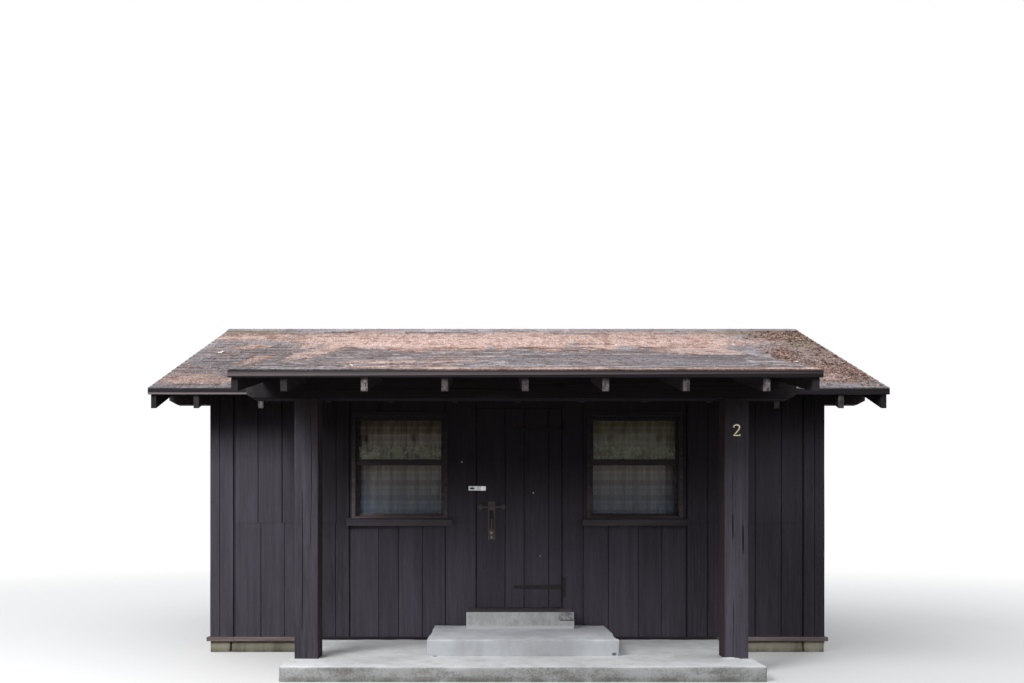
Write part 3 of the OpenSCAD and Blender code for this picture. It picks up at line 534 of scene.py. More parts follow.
def concrete(name, base, stain, grime=0.5, rough_below=0.0, top=1.0, marks=None):
    """Old cast concrete with sand grain, pores, damp stains and a dark foot.

    Its aggregate shows below the level rough_below. top is how much paler its upward faces are:
    painted light from above. marks(s, color) adds single marks."""
    s = Shade.material(name)
    cloud = s.noise(1.6, detail=8, roughness=0.65)
    sand = s.noise(320, detail=3, roughness=0.7)
    drip = s.noise(7, (1, 1, 0.18), 6, 0.6)
    color = s.mix(base, scaled(base, 0.74), cloud.span(0.42, 0.68))
    color = s.mix(color, stain, drip.span(0.48, 0.68) * grime)
    color = s.mix(color, scaled(stain, 0.5), s.axis(2).span(0.05, 0.0) * drip.span(0.3, 0.6))
    relief = sand * 0.4 + s.cells(70).span(0.0, 0.35, 0.0, 0.3)
    if rough_below:
        blotch = s.noise(75, detail=5, roughness=0.8)
        clump = s.noise(3.5, (1, 1, 2.5), 5, 0.6)
        rough = s.axis(2).span(rough_below, rough_below - 0.012)
        color = s.dim(color, rough.span(0.0, 1.0, 1.0, 0.72))
        color = s.mix(color, scaled(stain, 0.4), rough * (blotch + clump).span(0.93, 1.2) * 0.8)
        relief = relief + rough * blotch * 1.5
    # Painted light: upward faces are paler by top
    color = s.dim(color, s.facing(2).span(0.5, 0.9, 1.0, top))
    if marks:
        color = marks(s, color)
    color = s.dim(color, sand.span(0.2, 0.8, 0.86, 1.12) + s.mark("tone"))
    return s.finish(color, cloud.span(0.3, 0.7, 0.78, 0.95), s.bump(relief, 0.002, 0.5), specular=0.2)


def iron(name, base, rust, share, level, first, second, shine=0.0):
    """Old painted iron; what lies above a level shows a mix of two other colours and may shine."""
    s = Shade.material(name)
    patch = s.noise(26, detail=6, roughness=0.7)
    pit = s.noise(380, detail=3, roughness=0.6)
    is_above = s.axis(2).span(level, level + 0.001)
    painted = s.mix(base, rust, patch.span(0.45, 0.7, 0.0, share))
    color = s.mix(painted, s.mix(first, second, patch.span(0.4, 0.7)), is_above)
    return s.finish(color, patch.span(0.3, 0.7, 0.45, 0.75), s.bump(pit, 0.0006, 0.5), specular=0.12,
                    metallic=is_above * shine if shine else 0.0)


def plated(name, base, dull, metallic):
    """Bare metal that has gone dull in smears and spangles."""
    s = Shade.material(name)
    smear = s.noise(40, detail=5, roughness=0.7)
    color = s.mix(base, dull, (s.cells(90) + smear).span(0.6, 1.25))
    return s.finish(color, smear.span(0.3, 0.7, 0.38, 0.6), s.bump(smear, 0.0004, 0.4), metallic=metallic)


def glass(name):
    """A clear pane with a fresnel mirror and a film of dust and pollen that thickens downwards, coloured as
    painted reflections.
    """
    s = Shade.material(name)
    through = s.add("BsdfTransparent", {"Color": (0.95, 0.94, 0.93)})
    mirror = s.add("BsdfGlossy", {"Color": (1, 1, 1), "Roughness": 0.03})
    pane = s.blend(s.add("Fresnel", {"IOR": 1.24}), through, mirror)
    z = s.axis(2)
    upper = z.span(MEETING_Z, MEETING_Z + 0.01)
    # Painted reflections: a film thickening downwards, spots low on the upper panes and a haze on the right
    dust_reflection = z.span(DUST_REFLECTION_TOP, DUST_REFLECTION_FOOT) * s.noise(4, detail=6, roughness=0.7).span(0.2, 0.75, 0.55, 1.0)
    speck = s.noise(8, (1, 1, 0.8), 6, 0.75)
    pollen_reflection_spots = z.span(MEETING_Z + 0.16, MEETING_Z + 0.13) * upper * speck.span(0.47, 0.56)
    haze_reflection = upper * s.axis(0).span(0.3, 0.9, 0.0, RIGHT_HAZE_REFLECTION)
    s.finish(s.mix(DUST_SKY_REFLECTION, POLLEN_LEAF_REFLECTION, z.span(MEETING_Z - 0.02, MEETING_Z + 0.02)), 0.6)
    s.show(s.blend(dust_reflection * LOWER_DUST_REFLECTION + pollen_reflection_spots * UPPER_POLLEN_REFLECTION + haze_reflection, pane, s.lit()))
    return s.owner


def cloth(name, ground, band, line, repeat):
    """Gathered cotton with a woven check, drawn in the cloth's own place."""
    s = Shade.material(name)
    own = s.add("Attribute", output="Vector", attribute_name="cloth")
    weave = s.noise(900, detail=2, roughness=0.5)
    fold_shade = s.noise(1.7, (6, 6, 0.4), 3, 0.5)
    color = ground
    for axis in (0, 1):
        turn = s.math("FRACT", s.math("DIVIDE", s.part(own, axis), repeat))
        color = s.mix(color, band, turn.span(0.03, 0.12) * turn.span(0.50, 0.41) * 0.45)
        color = s.mix(color, line, turn.span(0.66, 0.70) * turn.span(0.80, 0.76) * 0.22)
    color = s.mix(color, (0.9, 0.9, 0.9), weave.span(0.3, 0.7, 0.0, 0.08))
    # Painted shade: darker in long upright streaks, where folds would shade the cloth
    color = s.dim(color, fold_shade.span(0.3, 0.7, 0.75, 1.1))
    return s.finish(color, 0.92, s.bump(weave, 0.0004, 0.6), specular=0.1, sheen=0.15)


class RoofShade(Shade):
    """Grey mineral shingles, with needles in drifts, and moss and dead leaves at the right end.

    Most detail is long down the slope, as rain and litter leave it. y is folded over the ridge."""

    def __init__(self, owner):
        super().__init__(owner)
        down = (1, 0.3, 0.3)
        self.x = self.axis(0)
        self.y = RIDGE_Y - abs(self.axis(1) - RIDGE_Y)
        self.speck = self.noise(46, down, 5, 0.8)
        self.needle = self.noise(58, down, 6, 0.8, 0.6)
        self.heap = self.noise(8, (1, 0.45, 0.45), 5, 0.7)
        self.ragged = (self.noise(4.5, (0.5, 1.3, 1.3), 6, 0.75) * 3.0
                       + self.noise(24, down, 4, 0.7) * 2.4 - 2.7)

    def patches(self, places):
        """1 inside any of some places, each an ellipse with a ragged outline."""
        share = 0.0
        for at_x, at_y, long, deep in places:
            across = self.math("POWER", (self.x - at_x) * (1 / long), 2)
            up = self.math("POWER", (self.y - at_y) * (1 / deep), 2)
            share = self.largest((across + up + self.ragged).span(1.5, 0.5), share)
        return share

    def mineral(self, cloud, grit):
        """The shingles' own colour."""
        color = self.mix((0.31, 0.275, 0.29), (0.50, 0.455, 0.47), cloud.span(0.32, 0.68))
        color = self.dim(color, self.speck.span(0.3, 0.7, 0.42, 1.50) * self.heap.span(0.3, 0.7, 1.2, 0.85))
        return self.mix(color, (0.16, 0.13, 0.13), grit.span(0.52, 0.8, 0.0, 0.6))

    def needle_cover(self):
        """How thickly needles cover a place: in drifts, below the ridge and along the porch eave."""
        x, y = self.x, self.y
        drift = self.noise(1.6, (0.45, 1.5, 1.5), 8, 0.70, 0.5)
        tongue = self.noise(2.2, (1, 0.15, 0.15), 5, 0.7)
        upper = (y + tongue * 7 - 3.5).span(-0.9, -0.3) * abs(x).span(2.6, 2.2, 0.15, 0.6)
        porch_eave = y.span(-3.26, -3.44) * x.span(-0.9, 0.3, 0.1, 0.9)
        wanted = (drift.span(0.40, 0.62, -0.25, 0.45) + upper + porch_eave + self.patches(NEEDLE_DRIFTS) * 0.6
                  - self.patches(BARE_PATCHES) * 0.7 + y.span(0.62, 0.72, 0.0, -0.9))
        return (wanted + self.needle * 1.6).span(1.0, 1.25)

    def needle_color(self):
        color = self.mix((0.30, 0.175, 0.145), (0.98, 0.73, 0.65), self.needle.span(0.36, 0.60))
        color = self.mix(color, (0.46, 0.26, 0.20), self.heap.span(0.50, 0.64, 0.0, 0.85))
        return self.dim(color, self.y.span(0.2, 0.6, 1.0, 0.80))

    def leaves_and_moss(self, color):
        brown = self.mix((0.12, 0.08, 0.065), (0.62, 0.46, 0.39), self.needle.span(0.38, 0.60))
        color = self.mix(color, brown, self.patches(LEAF_DRIFTS) * self.speck.span(0.40, 0.56))
        moss = self.mix((0.12, 0.095, 0.055), (0.54, 0.43, 0.28), self.needle.span(0.36, 0.62))
        return self.mix(color, moss, self.patches(MOSS_PATCHES) * self.speck.span(0.36, 0.52, 0.0, 0.9))

    def darkening(self, cover):
        """Painted shade towards both ends of the roof, painted shadow lines along the courses under the
        needles, and darker dashes.
        """
        x, y = self.x, self.y
        # Painted shade: both ends of the roof are darker
        left = x.span(-1.4, -2.6, 0.07, 0.48) * y.span(0.3, -0.9, 0.35, 1.0)
        right = x.span(2.5, 3.1, 0.0, 0.2) * y.span(-0.6, -1.3, 0.1, 1.0)
        course = self.math("FRACT", (y - EAVE_Y) * (1 / COURSE_Y))
        # Painted shadow: lines along the courses where needles cover them
        line = cover * course.span(0.22, 0.12, 0.0, 0.35) * self.heap.span(0.42, 0.55)
        dashes = self.noise(9, (0.6, 1.5, 1.5), 4, 0.75)
        courses = dashes.span(0.50, 0.60, 1.0, 0.70) * (1.0 - line)
        return (1.0 - (left + right)) * courses * (1.0 + self.mark("tone"))


def shingle(name):
    """The whole roof covering: mineral, needles, leaves and moss in one material."""
    s = RoofShade.material(name)
    grit = s.noise(420, detail=2, roughness=0.8)
    cloud = s.noise(2.4, (0.5, 1, 1), 6, 0.65)
    cover = s.needle_cover()
    color = s.leaves_and_moss(s.mix(s.mineral(cloud, grit), s.needle_color(), cover))
    relief = grit * 0.4 + s.speck * 0.6 + s.needle * cover * 1.5
    return s.finish(s.dim(color, s.darkening(cover)), cloud.span(0.3, 0.7, 0.82, 0.97),
                    s.bump(relief, 0.005, 0.9), specular=0.1)


def litter(name, dry, bright):
    """Dead needles or leaves, each with a tone of its own between two colours."""
    s = Shade.material(name)
    vary = s.noise(9, detail=4, roughness=0.7)
    color = s.mix(dry, bright, s.math("ADD", vary.span(0.3, 0.7), s.mark("tone"), clamp=True))
    return s.finish(color, 0.85, s.bump(s.noise(600), 0.0005, 0.5), specular=0.15)


# Each a dark, a light and a worn colour; the beam's, plates' and rafters' are darker, as painted shade
STAINED = (STAIN, STAIN_LIGHT, STAIN_WORN)
TIMBER = ((0.30, 0.20, 0.12), (0.50, 0.36, 0.23), (0.55, 0.44, 0.32))
SHADED_EXPOSED = (SHADED_ROOF_STAIN, SHADED_ROOF_STAIN_LIGHT, BEAM_WORN)
SHADED_RAFTER = (SHADED_ROOF_STAIN, SHADED_ROOF_STAIN_LIGHT, GREY_WOOD)

materials = {
    # Concrete
    "concrete": concrete("old_concrete", CONCRETE, DAMP, 0.35, top=1.32),
    "step": concrete("step_concrete", CONCRETE, DAMP, 0.35, top=1.32, marks=chip_shade_spot(0.809, -2.415, 0.235)),
    "door_step": concrete("door_step_concrete", (0.55, 0.555, 0.555), (0.34, 0.33, 0.30),
                          marks=door_step_marks),
    "slab": concrete("slab_concrete", (0.74, 0.745, 0.755), (0.44, 0.42, 0.38), 0.35, rough_below=0.122,
                     marks=chip_shade_spot(-0.742, -2.43, 0.208)),
    "footing": concrete("footing_concrete", (0.30, 0.285, 0.22), (0.16, 0.15, 0.11), 0.9, marks=painted_light_right),
    # Wood
    "plank": wood("weathered_plank", "x", ((0.13, 0.10, 0.10), (0.26, 0.21, 0.20), (0.46, 0.38, 0.37)), 0.6,
                  kept=darker_between_posts),
    **{f"timber_{along}": wood(f"raw_timber_{along}", along, TIMBER, 0.3) for along in GRAIN},
    "floor": wood("floor_planks", "x", ((0.22, 0.13, 0.07), (0.38, 0.25, 0.15), (0.45, 0.34, 0.24))),
    "siding": wood("stained_siding", "z", STAINED, 0.35, wall_fading_and_light, painted_shade_under_roofs),
    "door": wood("stained_door", "z", STAINED, 0.25, wall_fading_and_light, painted_shade_under_roofs),
    "trim": wood("stained_trim", "x", (STAIN, STAIN_LIGHT, (0.15, 0.13, 0.155)), 0.4, wall_fading_and_light,
                 window_painted_shade),
    "sash": wood("stained_sash", "x", (STAIN, (0.095, 0.079, 0.088), (0.24, 0.20, 0.215)), 0.55,
                 sash_fading_and_light, window_painted_shade),
    "post": wood("stained_post", "z", (STAIN, (0.066, 0.059, 0.075), (0.165, 0.150, 0.192)), 0.5, post_painted_light,
                 relief=0.004, red_side_shade=0.9),
    "beam": wood("stained_beam", "x", SHADED_EXPOSED, 0.15, end_fading(0, 2.26, 0.06), painted_beam_shade),
    "plate": wood("stained_plate", "x", SHADED_EXPOSED, 0.3, end_fading(0, 3.1, 0.3)),
    "porch_rafter": wood("porch_rafter_wood", "y", SHADED_RAFTER, 0.1, end_fading(1, 3.46, 0.01, PORCH_ENDS)),
    "main_rafter": wood("main_rafter_wood", "y", SHADED_RAFTER, 0.1, end_fading(1, 1.76, 0.01, MAIN_ENDS)),
    "rafter": wood("stained_rafter", "y", (SHADED_ROOF_STAIN, SHADED_ROOF_STAIN_LIGHT, (0.056, 0.050, 0.056)), 0.3),
    "fascia": wood("worn_fascia", "x", ((0.034, 0.028, 0.030), (0.066, 0.055, 0.059), (0.22, 0.185, 0.19)),
                   0.1, fascia_fading, painted_fascia_shade),
    # Metal, glass and cloth
    # Painted shade: the black iron's two colours above its level are darker, for the porch's shade
    "iron": iron("black_iron", (0.043, 0.037, 0.041), (0.085, 0.062, 0.057), 0.6, SHADED_IRON_Z,
                 (0.010, 0.009, 0.010), (0.016, 0.013, 0.014)),
    "latch_iron": iron("worn_latch_iron", (0.19, 0.157, 0.163), (0.23, 0.187, 0.172), 0.8, HASP_FOOT_Z,
                       (0.98, 1.0, 0.98), (0.85, 0.88, 0.86), 0.75),
    "zinc": plated("galvanised_steel", (0.74, 0.76, 0.75), (0.50, 0.52, 0.51), 0.7),
    "brass": plated("pale_brass", (1.0, 0.93, 0.70), (0.95, 0.84, 0.58), 0.75),
    "old_brass": plated("tarnished_brass", (0.46, 0.42, 0.29), (0.30, 0.27, 0.20), 0.2),
    "glass": glass("window_pane"),
    "cloth": cloth("checked_cotton", (0.64, 0.59, 0.52), (0.24, 0.16, 0.12), (0.16, 0.11, 0.08), 0.15),
    # Roofs
    "shingle": shingle("needled_shingle"),
    "needle": litter("pine_needles", (0.28, 0.15, 0.11), (0.66, 0.44, 0.37)),
    "pale_leaf": litter("bleached_leaves", (0.66, 0.62, 0.58), (0.90, 0.88, 0.86)),
    "leaf": litter("dead_leaves", (0.17, 0.105, 0.085), (0.66, 0.46, 0.40)),
}


# ---------------------------------------------------------------- CAD nodes that stay

def dress(node, material, edge=0.0025):
    """A CAD node with softened edges, if it has any, and its material."""
    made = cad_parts[node]
    if edge:
        weld = made.modifiers.new("weld", "WELD")
        weld.merge_threshold = 1e-5
        bevel = made.modifiers.new("soft_edges", "BEVEL")
        bevel.width = edge
        bevel.segments = 2
        bevel.limit_method = "ANGLE"
        bevel.angle_limit = math.radians(35)
    for slot in made.material_slots:
        slot.material = materials[material]


KEPT_NODES = {
    "mudsills": "plank", "sill_beams": "timber_x", "floor_joists": "timber_y", "wall_plates": "plate",
    "wall_studs": "timber_z", "wall_headers": "timber_x", "door_frame": "trim", "door_ledges": "trim",
    "window_frames": "sash", "upper_sashes": "sash", "lower_sashes": "sash", "window_sills": "trim",
    "porch_rafters": "porch_rafter", "main_rafters": "main_rafter", "barge_rafters": "rafter",
    "ridge_board": "timber_x", "tie_beams": "timber_y", "eave_blocks": "trim", "fascia_strips": "fascia",
}
for node, material in KEPT_NODES.items():
    dress(node, material)
for node in ("hinge_straps", "hinge_plates", "curtain_rods"):
    dress(node, "iron", 0.0008)
dress("door_latch", "latch_iron", 0.0008)
dress("hasp_leaf", "zinc", 0.0005)
dress("hasp_staple", "iron", 0.0005)
dress("window_glass", "glass", 0)


# ---------------------------------------------------------------- camera, floor and light

CAMERA_PLACE = (-0.25, -10.305, 1.309)
FLOOR_HALF = 60
FADE_TO_WHITE = (6, 16)
SOIL = (0.10, 0.085, 0.065)
WHITE = (1, 1, 1)
SKY = (0.93, 0.96, 1.0)
HORIZON_LIGHT = 0.04
ZENITH_LIGHT = 1.05
KEY_PLACE = Vector((-6, -9.5, 8.5))
KEY_AIM = Vector((0, 0, 1))


def make_camera():
    """A level camera at eye height, shifted up like the photo's."""
    lens = bpy.data.cameras.new("view")
    lens.lens, lens.sensor_width = 32, 36
    lens.shift_x, lens.shift_y = 0.0195, 0.1743
    lens.clip_end = 200
    made = stand(lens, CAMERA_PLACE)
    made.rotation_euler = (math.pi / 2, 0, 0)
    bpy.context.scene.camera = made


def background_rays(s):
    """1 for the rays that may see the pale background."""
    rays = ("Camera", "Glossy", "Transmission")
    return s.largest(*(s.add("LightPath", output=f"Is {ray} Ray") for ray in rays))


def make_floor():
    """A pale floor that keeps the shadow near the building, is white far off and lights it like soil."""
    a, b = -FLOOR_HALF, FLOOR_HALF
    mesh = bpy.data.meshes.new("floor")
    mesh.from_pydata([(a, a, 0), (b, a, 0), (b, b, 0), (a, b, 0)], [], [(0, 1, 2, 3)])
    s = Shade.material("pale_floor")
    s.finish((0.80, 0.79, 0.78), 0.9)
    far = s.add("VectorMath", {0: s.place()}, "Value", operation="LENGTH")
    near = s.blend(background_rays(s), s.add("BsdfDiffuse", {"Color": SOIL}), s.lit())
    white = s.add("Emission", {"Color": WHITE, "Strength": 1.0})
    s.show(s.blend(far.span(*FADE_TO_WHITE) * background_rays(s), near, white))
    mesh.materials.append(s.owner)
    floor = stand(mesh)
    floor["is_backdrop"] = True


def make_light():
    """A soft sky, darker towards the horizon, with a key light from the front left."""
    world = bpy.data.worlds.new("studio")
    bpy.context.scene.world = world
    s = Shade(world)
    up = s.part(s.add("TexCoord", output="Generated"), 2)
    strength = up.span(0.08, 0.5, HORIZON_LIGHT, ZENITH_LIGHT)
    soft = s.add("Background", {"Color": SKY, "Strength": strength})
    white = s.add("Background", {"Color": WHITE, "Strength": 1.0})
    s.show(s.blend(background_rays(s), soft, white), "World Output")
    lamp = bpy.data.lights.new("key_light", "AREA")
    lamp.size, lamp.energy = 5, 1000
    made = stand(lamp, KEY_PLACE)
    made.rotation_euler = (KEY_AIM - KEY_PLACE).to_track_quat("-Z", "Y").to_euler()


make_camera()
make_floor()
make_light()
bpy.context.scene.view_settings.view_transform = "Standard"


# ---------------------------------------------------------------- boards

CLEAR = 0.0005  # between parts that lie on each other
BOARD_T = 0.018
BOARD_W = 0.245
LAP_W = 0.045
LAP_BACK = -0.0245
LAP_BARE = [0.0, 0.0, 1.0, 1.0]
LAP_TONE = -0.3
SEAM_GAP = (0.0012, 0.0040)
WIDE_GAP = 0.0085

TIER_Z = 1.279
TIER_GAP = 0.0012
LEAF_GAP = 0.006
WINDOW_HALF = 0.4735
TRIM_INNER = (2.814, 2.838)  # how far the front corner boards reach in, left and right

low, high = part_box("front_siding")
FRONT_Y, FRONT_EDGE, SIDING_LOW, SIDING_TOP = low.y, high.x, low.z, high.z
REAR_EDGE, REAR_Y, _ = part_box("rear_siding")[1]
HALF_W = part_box("corner_boards")[1].x
MID_Y = (FRONT_Y + REAR_Y) / 2
low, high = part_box("window_frames")
WINDOW_LOW, WINDOW_HIGH = low.z, high.z
low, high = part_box("door_planks")
DOOR_LEFT, DOOR_RIGHT, DOOR_HEAD = low.x - LEAF_GAP, high.x + LEAF_GAP, high.z + LEAF_GAP
DOOR_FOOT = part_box("door_step")[1].z

UPPER_SEAMS = [-2.80, -2.569, -2.330, -2.062, -1.794, -1.659, -1.373, -1.177, -0.938, -0.712,
               DOOR_LEFT, -0.105, 0.190, DOOR_RIGHT, 0.654, 0.903, 1.200, 1.429, 1.679, 1.889, 2.114,
               2.358, 2.617, 2.832]
LOWER_SEAMS = [-2.80, -2.540, -2.307, -2.040, -1.801, -1.659, -1.373, -1.177, -0.938, -0.712,
               DOOR_LEFT, DOOR_RIGHT, 0.654, 0.903, 1.200, 1.429, 1.679, 1.889, 2.130, 2.358, 2.617, 2.832]
DEEP_SEAMS = [-2.80, -1.659, 1.679, 2.832]


class Wall:
    """A wall face that boards are nailed to: u runs along it, h stands out of it."""

    def __init__(self, origin, along, out):
        self.origin = Vector(origin)
        self.along = Vector(along)
        self.out = Vector(out)

    def point(self, u, h, z):
        place = self.origin + self.along * u + self.out * h
        return (place.x, place.y, z)


def board(solids, wall, left, right, low, high, seed, tone, top=None, bare_back=1.0):
    """An upright board with uneven edges; left and right give its sides at a height, top its cut over u."""
    ring_gap, round_most = 0.13, 0.004
    steps = max(2, round((high - low) / ring_gap))
    rings = []
    for k, z in enumerate(spread(low, high, steps)):
        a, b = left(z), right(z)
        round_over = min(round_most, (b - a) / 5)
        cup = 0.0006 * wander(seed, z * 0.9, 3.1)
        face = -0.0012 + 0.0012 * wander(seed * 1.7, z * 0.6, 8.2)
        outline = [
            (a, face - round_over), (a + 0.4 * round_over, face - 0.3 * round_over),
            (a + 1.6 * round_over, face), (a + (b - a) / 3, face + cup),
            (a + (b - a) * 2 / 3, face + cup), (b - 1.6 * round_over, face),
            (b - 0.4 * round_over, face - 0.3 * round_over), (b, face - round_over),
            (b, -BOARD_T + 0.001), (b, -BOARD_T), (a, -BOARD_T), (a, -BOARD_T + 0.001)]
        rings.append([wall.point(u, h, z if top is None else low + (min(high, top(u)) - low) * (k / steps))
                      for u, h in outline])
    solids.sweep(rings, tone, [0.0] * 9 + [bare_back] * 2 + [0.0])


def edge_line(u, seed, gap):
    """One side of a seam: a line that wanders a little with the height."""
    return lambda z: u + gap + 0.0016 * wander(seed * 3.3, z * 1.3) + 0.0007 * wander(seed * 5.1, z * 7)


def sawn_line(u):
    """A straight side, cut at an opening."""
    return lambda z: u


def cut_out(low, high, columns, openings):
    """What openings, each (left, right, low, high), leave of columns between two heights.

    Each part is (column, start, end, low, high), with None for a side that is the column's own."""
    slack = 0.001
    for index, (a, b) in enumerate(columns):
        found = [o for o in openings if o[0] < b - slack and o[1] > a + slack and o[2] < high and o[3] > low]
        if not found:
            yield index, None, None, low, high
            continue
        left, right, foot, head = found[0]
        if foot > low:
            yield index, None, None, low, foot
        if head < high:
            yield index, None, None, head, high
        if left > a + slack:
            yield index, None, left, max(low, foot), min(high, head)
        if right < b - slack:
            yield index, right, None, max(low, foot), min(high, head)


def clad(solids, wall, seams, low, high, openings=(), top=None, wide=()):
    """Boards between the seams of one tier, with a lap behind each seam; wide seams stand further open."""
    rand = solids.random
    columns = list(zip(seams, seams[1:]))
    ids = [rand.random() * 90 for _ in seams]
    gaps = [WIDE_GAP if any(abs(u - w) < 0.02 for w in wide) else rand.uniform(*SEAM_GAP) for u in seams]
    tones = [0.05 + 0.20 * wander(a * 9.1, b * 5.3, 2.0) + solids.vary(0.03) for a, b in columns]
    for i, start, end, a, b in cut_out(low, high, columns, openings):
        left = edge_line(seams[i], ids[i], gaps[i]) if start is None else sawn_line(start)
        right = edge_line(seams[i + 1], ids[i + 1], -gaps[i + 1]) if end is None else sawn_line(end)
        board(solids, wall, left, right, a, b, ids[i], tones[i], top)
    laps = [(max(seams[0], u - LAP_W / 2), min(seams[-1], u + LAP_W / 2)) for u in seams]
    for i, start, end, a, b in cut_out(low, high, laps, openings):
        u, v = laps[i]
        lap(solids, wall, u if start is None else start, v if end is None else end, a, b, top)


def lap(solids, wall, u, v, low, high, top=None):
    """An upright strip behind the boards; top gives its cut over u."""
    front = -BOARD_T - CLEAR
    line = [(u, front), (v, front), (v, LAP_BACK), (u, LAP_BACK)]
    solids.sweep([[wall.point(p, h, low) for p, h in line],
                  [wall.point(p, h, high if top is None else min(high, top(p))) for p, h in line]],
                 LAP_TONE, LAP_BARE)


def joint_lap(solids, wall, first, last):
    """A strip behind the joint between the two tiers."""
    front, back = -BOARD_T - 0.0008, -0.0235
    low, high = TIER_Z - 0.03, TIER_Z + 0.03
    line = [(front, low), (front, high), (back, high), (back, low)]
    solids.sweep([[wall.point(u, h, z) for h, z in line] for u in (first, last)], LAP_TONE, LAP_BARE)


def random_seams(solids, first, last, mean):
    """Seams between two sides, for boards of uneven width."""
    count = round((last - first) / mean)
    places = [i + solids.vary(0.24) for i in range(1, count)]
    return [first, *(first + (last - first) * place / count for place in places), last]


def window_holes(*centres):
    """The openings of windows, each (left, right, low, high)."""
    return [(c - WINDOW_HALF, c + WINDOW_HALF, WINDOW_LOW, WINDOW_HIGH) for c in centres]


def rake(y):
    """Height of the roof's underside over a place along a gable."""
    return SIDING_TOP + MAIN_PITCH * (MID_Y - FRONT_Y - abs(y - MID_Y))


def clad_tiers(solids, wall, first, last, openings, top_z, top=None):
    """Boards of uneven width in two tiers; top gives the upper one's cut over u."""
    clad(solids, wall, random_seams(solids, first, last, BOARD_W), SIDING_LOW, TIER_Z - TIER_GAP)
    clad(solids, wall, random_seams(solids, first, last, BOARD_W), TIER_Z + TIER_GAP, top_z, openings, top)
    joint_lap(solids, wall, first, last)


def front_boards():
    """Boards whose seams follow the photo, with strips that fill the ends up to the corner boards."""
    solids = Solids(11)
    wall = Wall((0, FRONT_Y, 0), (1, 0, 0), (0, -1, 0))
    door = (DOOR_LEFT, DOOR_RIGHT, DOOR_FOOT, DOOR_HEAD)
    holes = [*window_holes(-WINDOW_X, WINDOW_X), door]
    clad(solids, wall, LOWER_SEAMS, SIDING_LOW, TIER_Z - TIER_GAP, [door], wide=DEEP_SEAMS)
    clad(solids, wall, UPPER_SEAMS, TIER_Z + TIER_GAP, SIDING_TOP, holes, wide=DEEP_SEAMS)
    joint_lap(solids, wall, UPPER_SEAMS[0], DOOR_LEFT)
    joint_lap(solids, wall, DOOR_RIGHT, UPPER_SEAMS[-1])
    left, right = TRIM_INNER
    front = -0.019
    for a, b in ((-left + CLEAR, UPPER_SEAMS[0]), (UPPER_SEAMS[-1], right - CLEAR)):
        line = [(a, front), (b, front), (b, LAP_BACK), (a, LAP_BACK)]
        solids.sweep([[wall.point(u, h, z) for u, h in line] for z in (SIDING_LOW, SIDING_TOP)], LAP_TONE)
    solids.piece("front_boards", "siding", ["front_siding", "door_bay_siding"])


def rear_boards():
    """Boards like the front's, without a door."""
    solids = Solids(12)
    wall = Wall((0, REAR_Y, 0), (1, 0, 0), (0, 1, 0))
    clad_tiers(solids, wall, -REAR_EDGE, REAR_EDGE, window_holes(-WINDOW_X, WINDOW_X), SIDING_TOP)
    solids.piece("rear_boards", "siding", ["rear_siding"])


def gable_boards():
    """Boards on both gables, cut along the rakes."""
    solids = Solids(13)
    low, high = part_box("gable_siding")
    for side in (-1, 1):
        wall = Wall((side * HALF_W, 0, 0), (0, 1, 0), (side, 0, 0))
        clad_tiers(solids, wall, low.y, high.y, window_holes(MID_Y), high.z,
                   lambda u: min(high.z, rake(u)) - 0.001)
    solids.piece("gable_boards", "siding", ["gable_siding"])


def corner_trim():
    """Corner boards: the front ones cover the ends of those on the gables, and leave room for the plates."""
    solids = Solids(14)
    trim_w = HALF_W - FRONT_EDGE
    rear_edge = REAR_EDGE + CLEAR
    for y, out, inner_edges in ((FRONT_Y, -1, TRIM_INNER), (REAR_Y, 1, (rear_edge, rear_edge))):
        wall = Wall((0, y, 0), (1, 0, 0), (0, out, 0))
        for side, inner in zip((-1, 1), inner_edges):
            a, b = sorted((side * inner, side * HALF_W))
            seam = side * (HALF_W - 0.1)
            clad(solids, wall, [a, seam, b] if out < 0 else [a, b], SIDING_LOW, SIDING_TOP)
    top_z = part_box("corner_boards")[1].z - 0.002
    cover, plate_deep, plate_low = 0.0255, 0.125, 2.454
    for side in (-1, 1):
        wall = Wall((side * HALF_W, 0, 0), (0, 1, 0), (side, 0, 0))
        for a, b, plate in (
                (FRONT_Y + cover, FRONT_Y + trim_w, (FRONT_Y - 1, FRONT_Y + plate_deep, plate_low, 3)),
                (REAR_Y - trim_w, REAR_Y - cover, (REAR_Y - plate_deep, REAR_Y + 1, plate_low, 3))):
            clad(solids, wall, [a, b], SIDING_LOW, top_z, [plate], lambda u: rake(u) - 0.001)
    solids.piece("corner_trim", "siding", ["corner_boards"])


front_boards()
rear_boards()
gable_boards()
corner_trim()


# ---------------------------------------------------------------- door

LEAF_SEAMS = (-0.120, 0.068, 0.312)
STRIP_HALF = 0.03


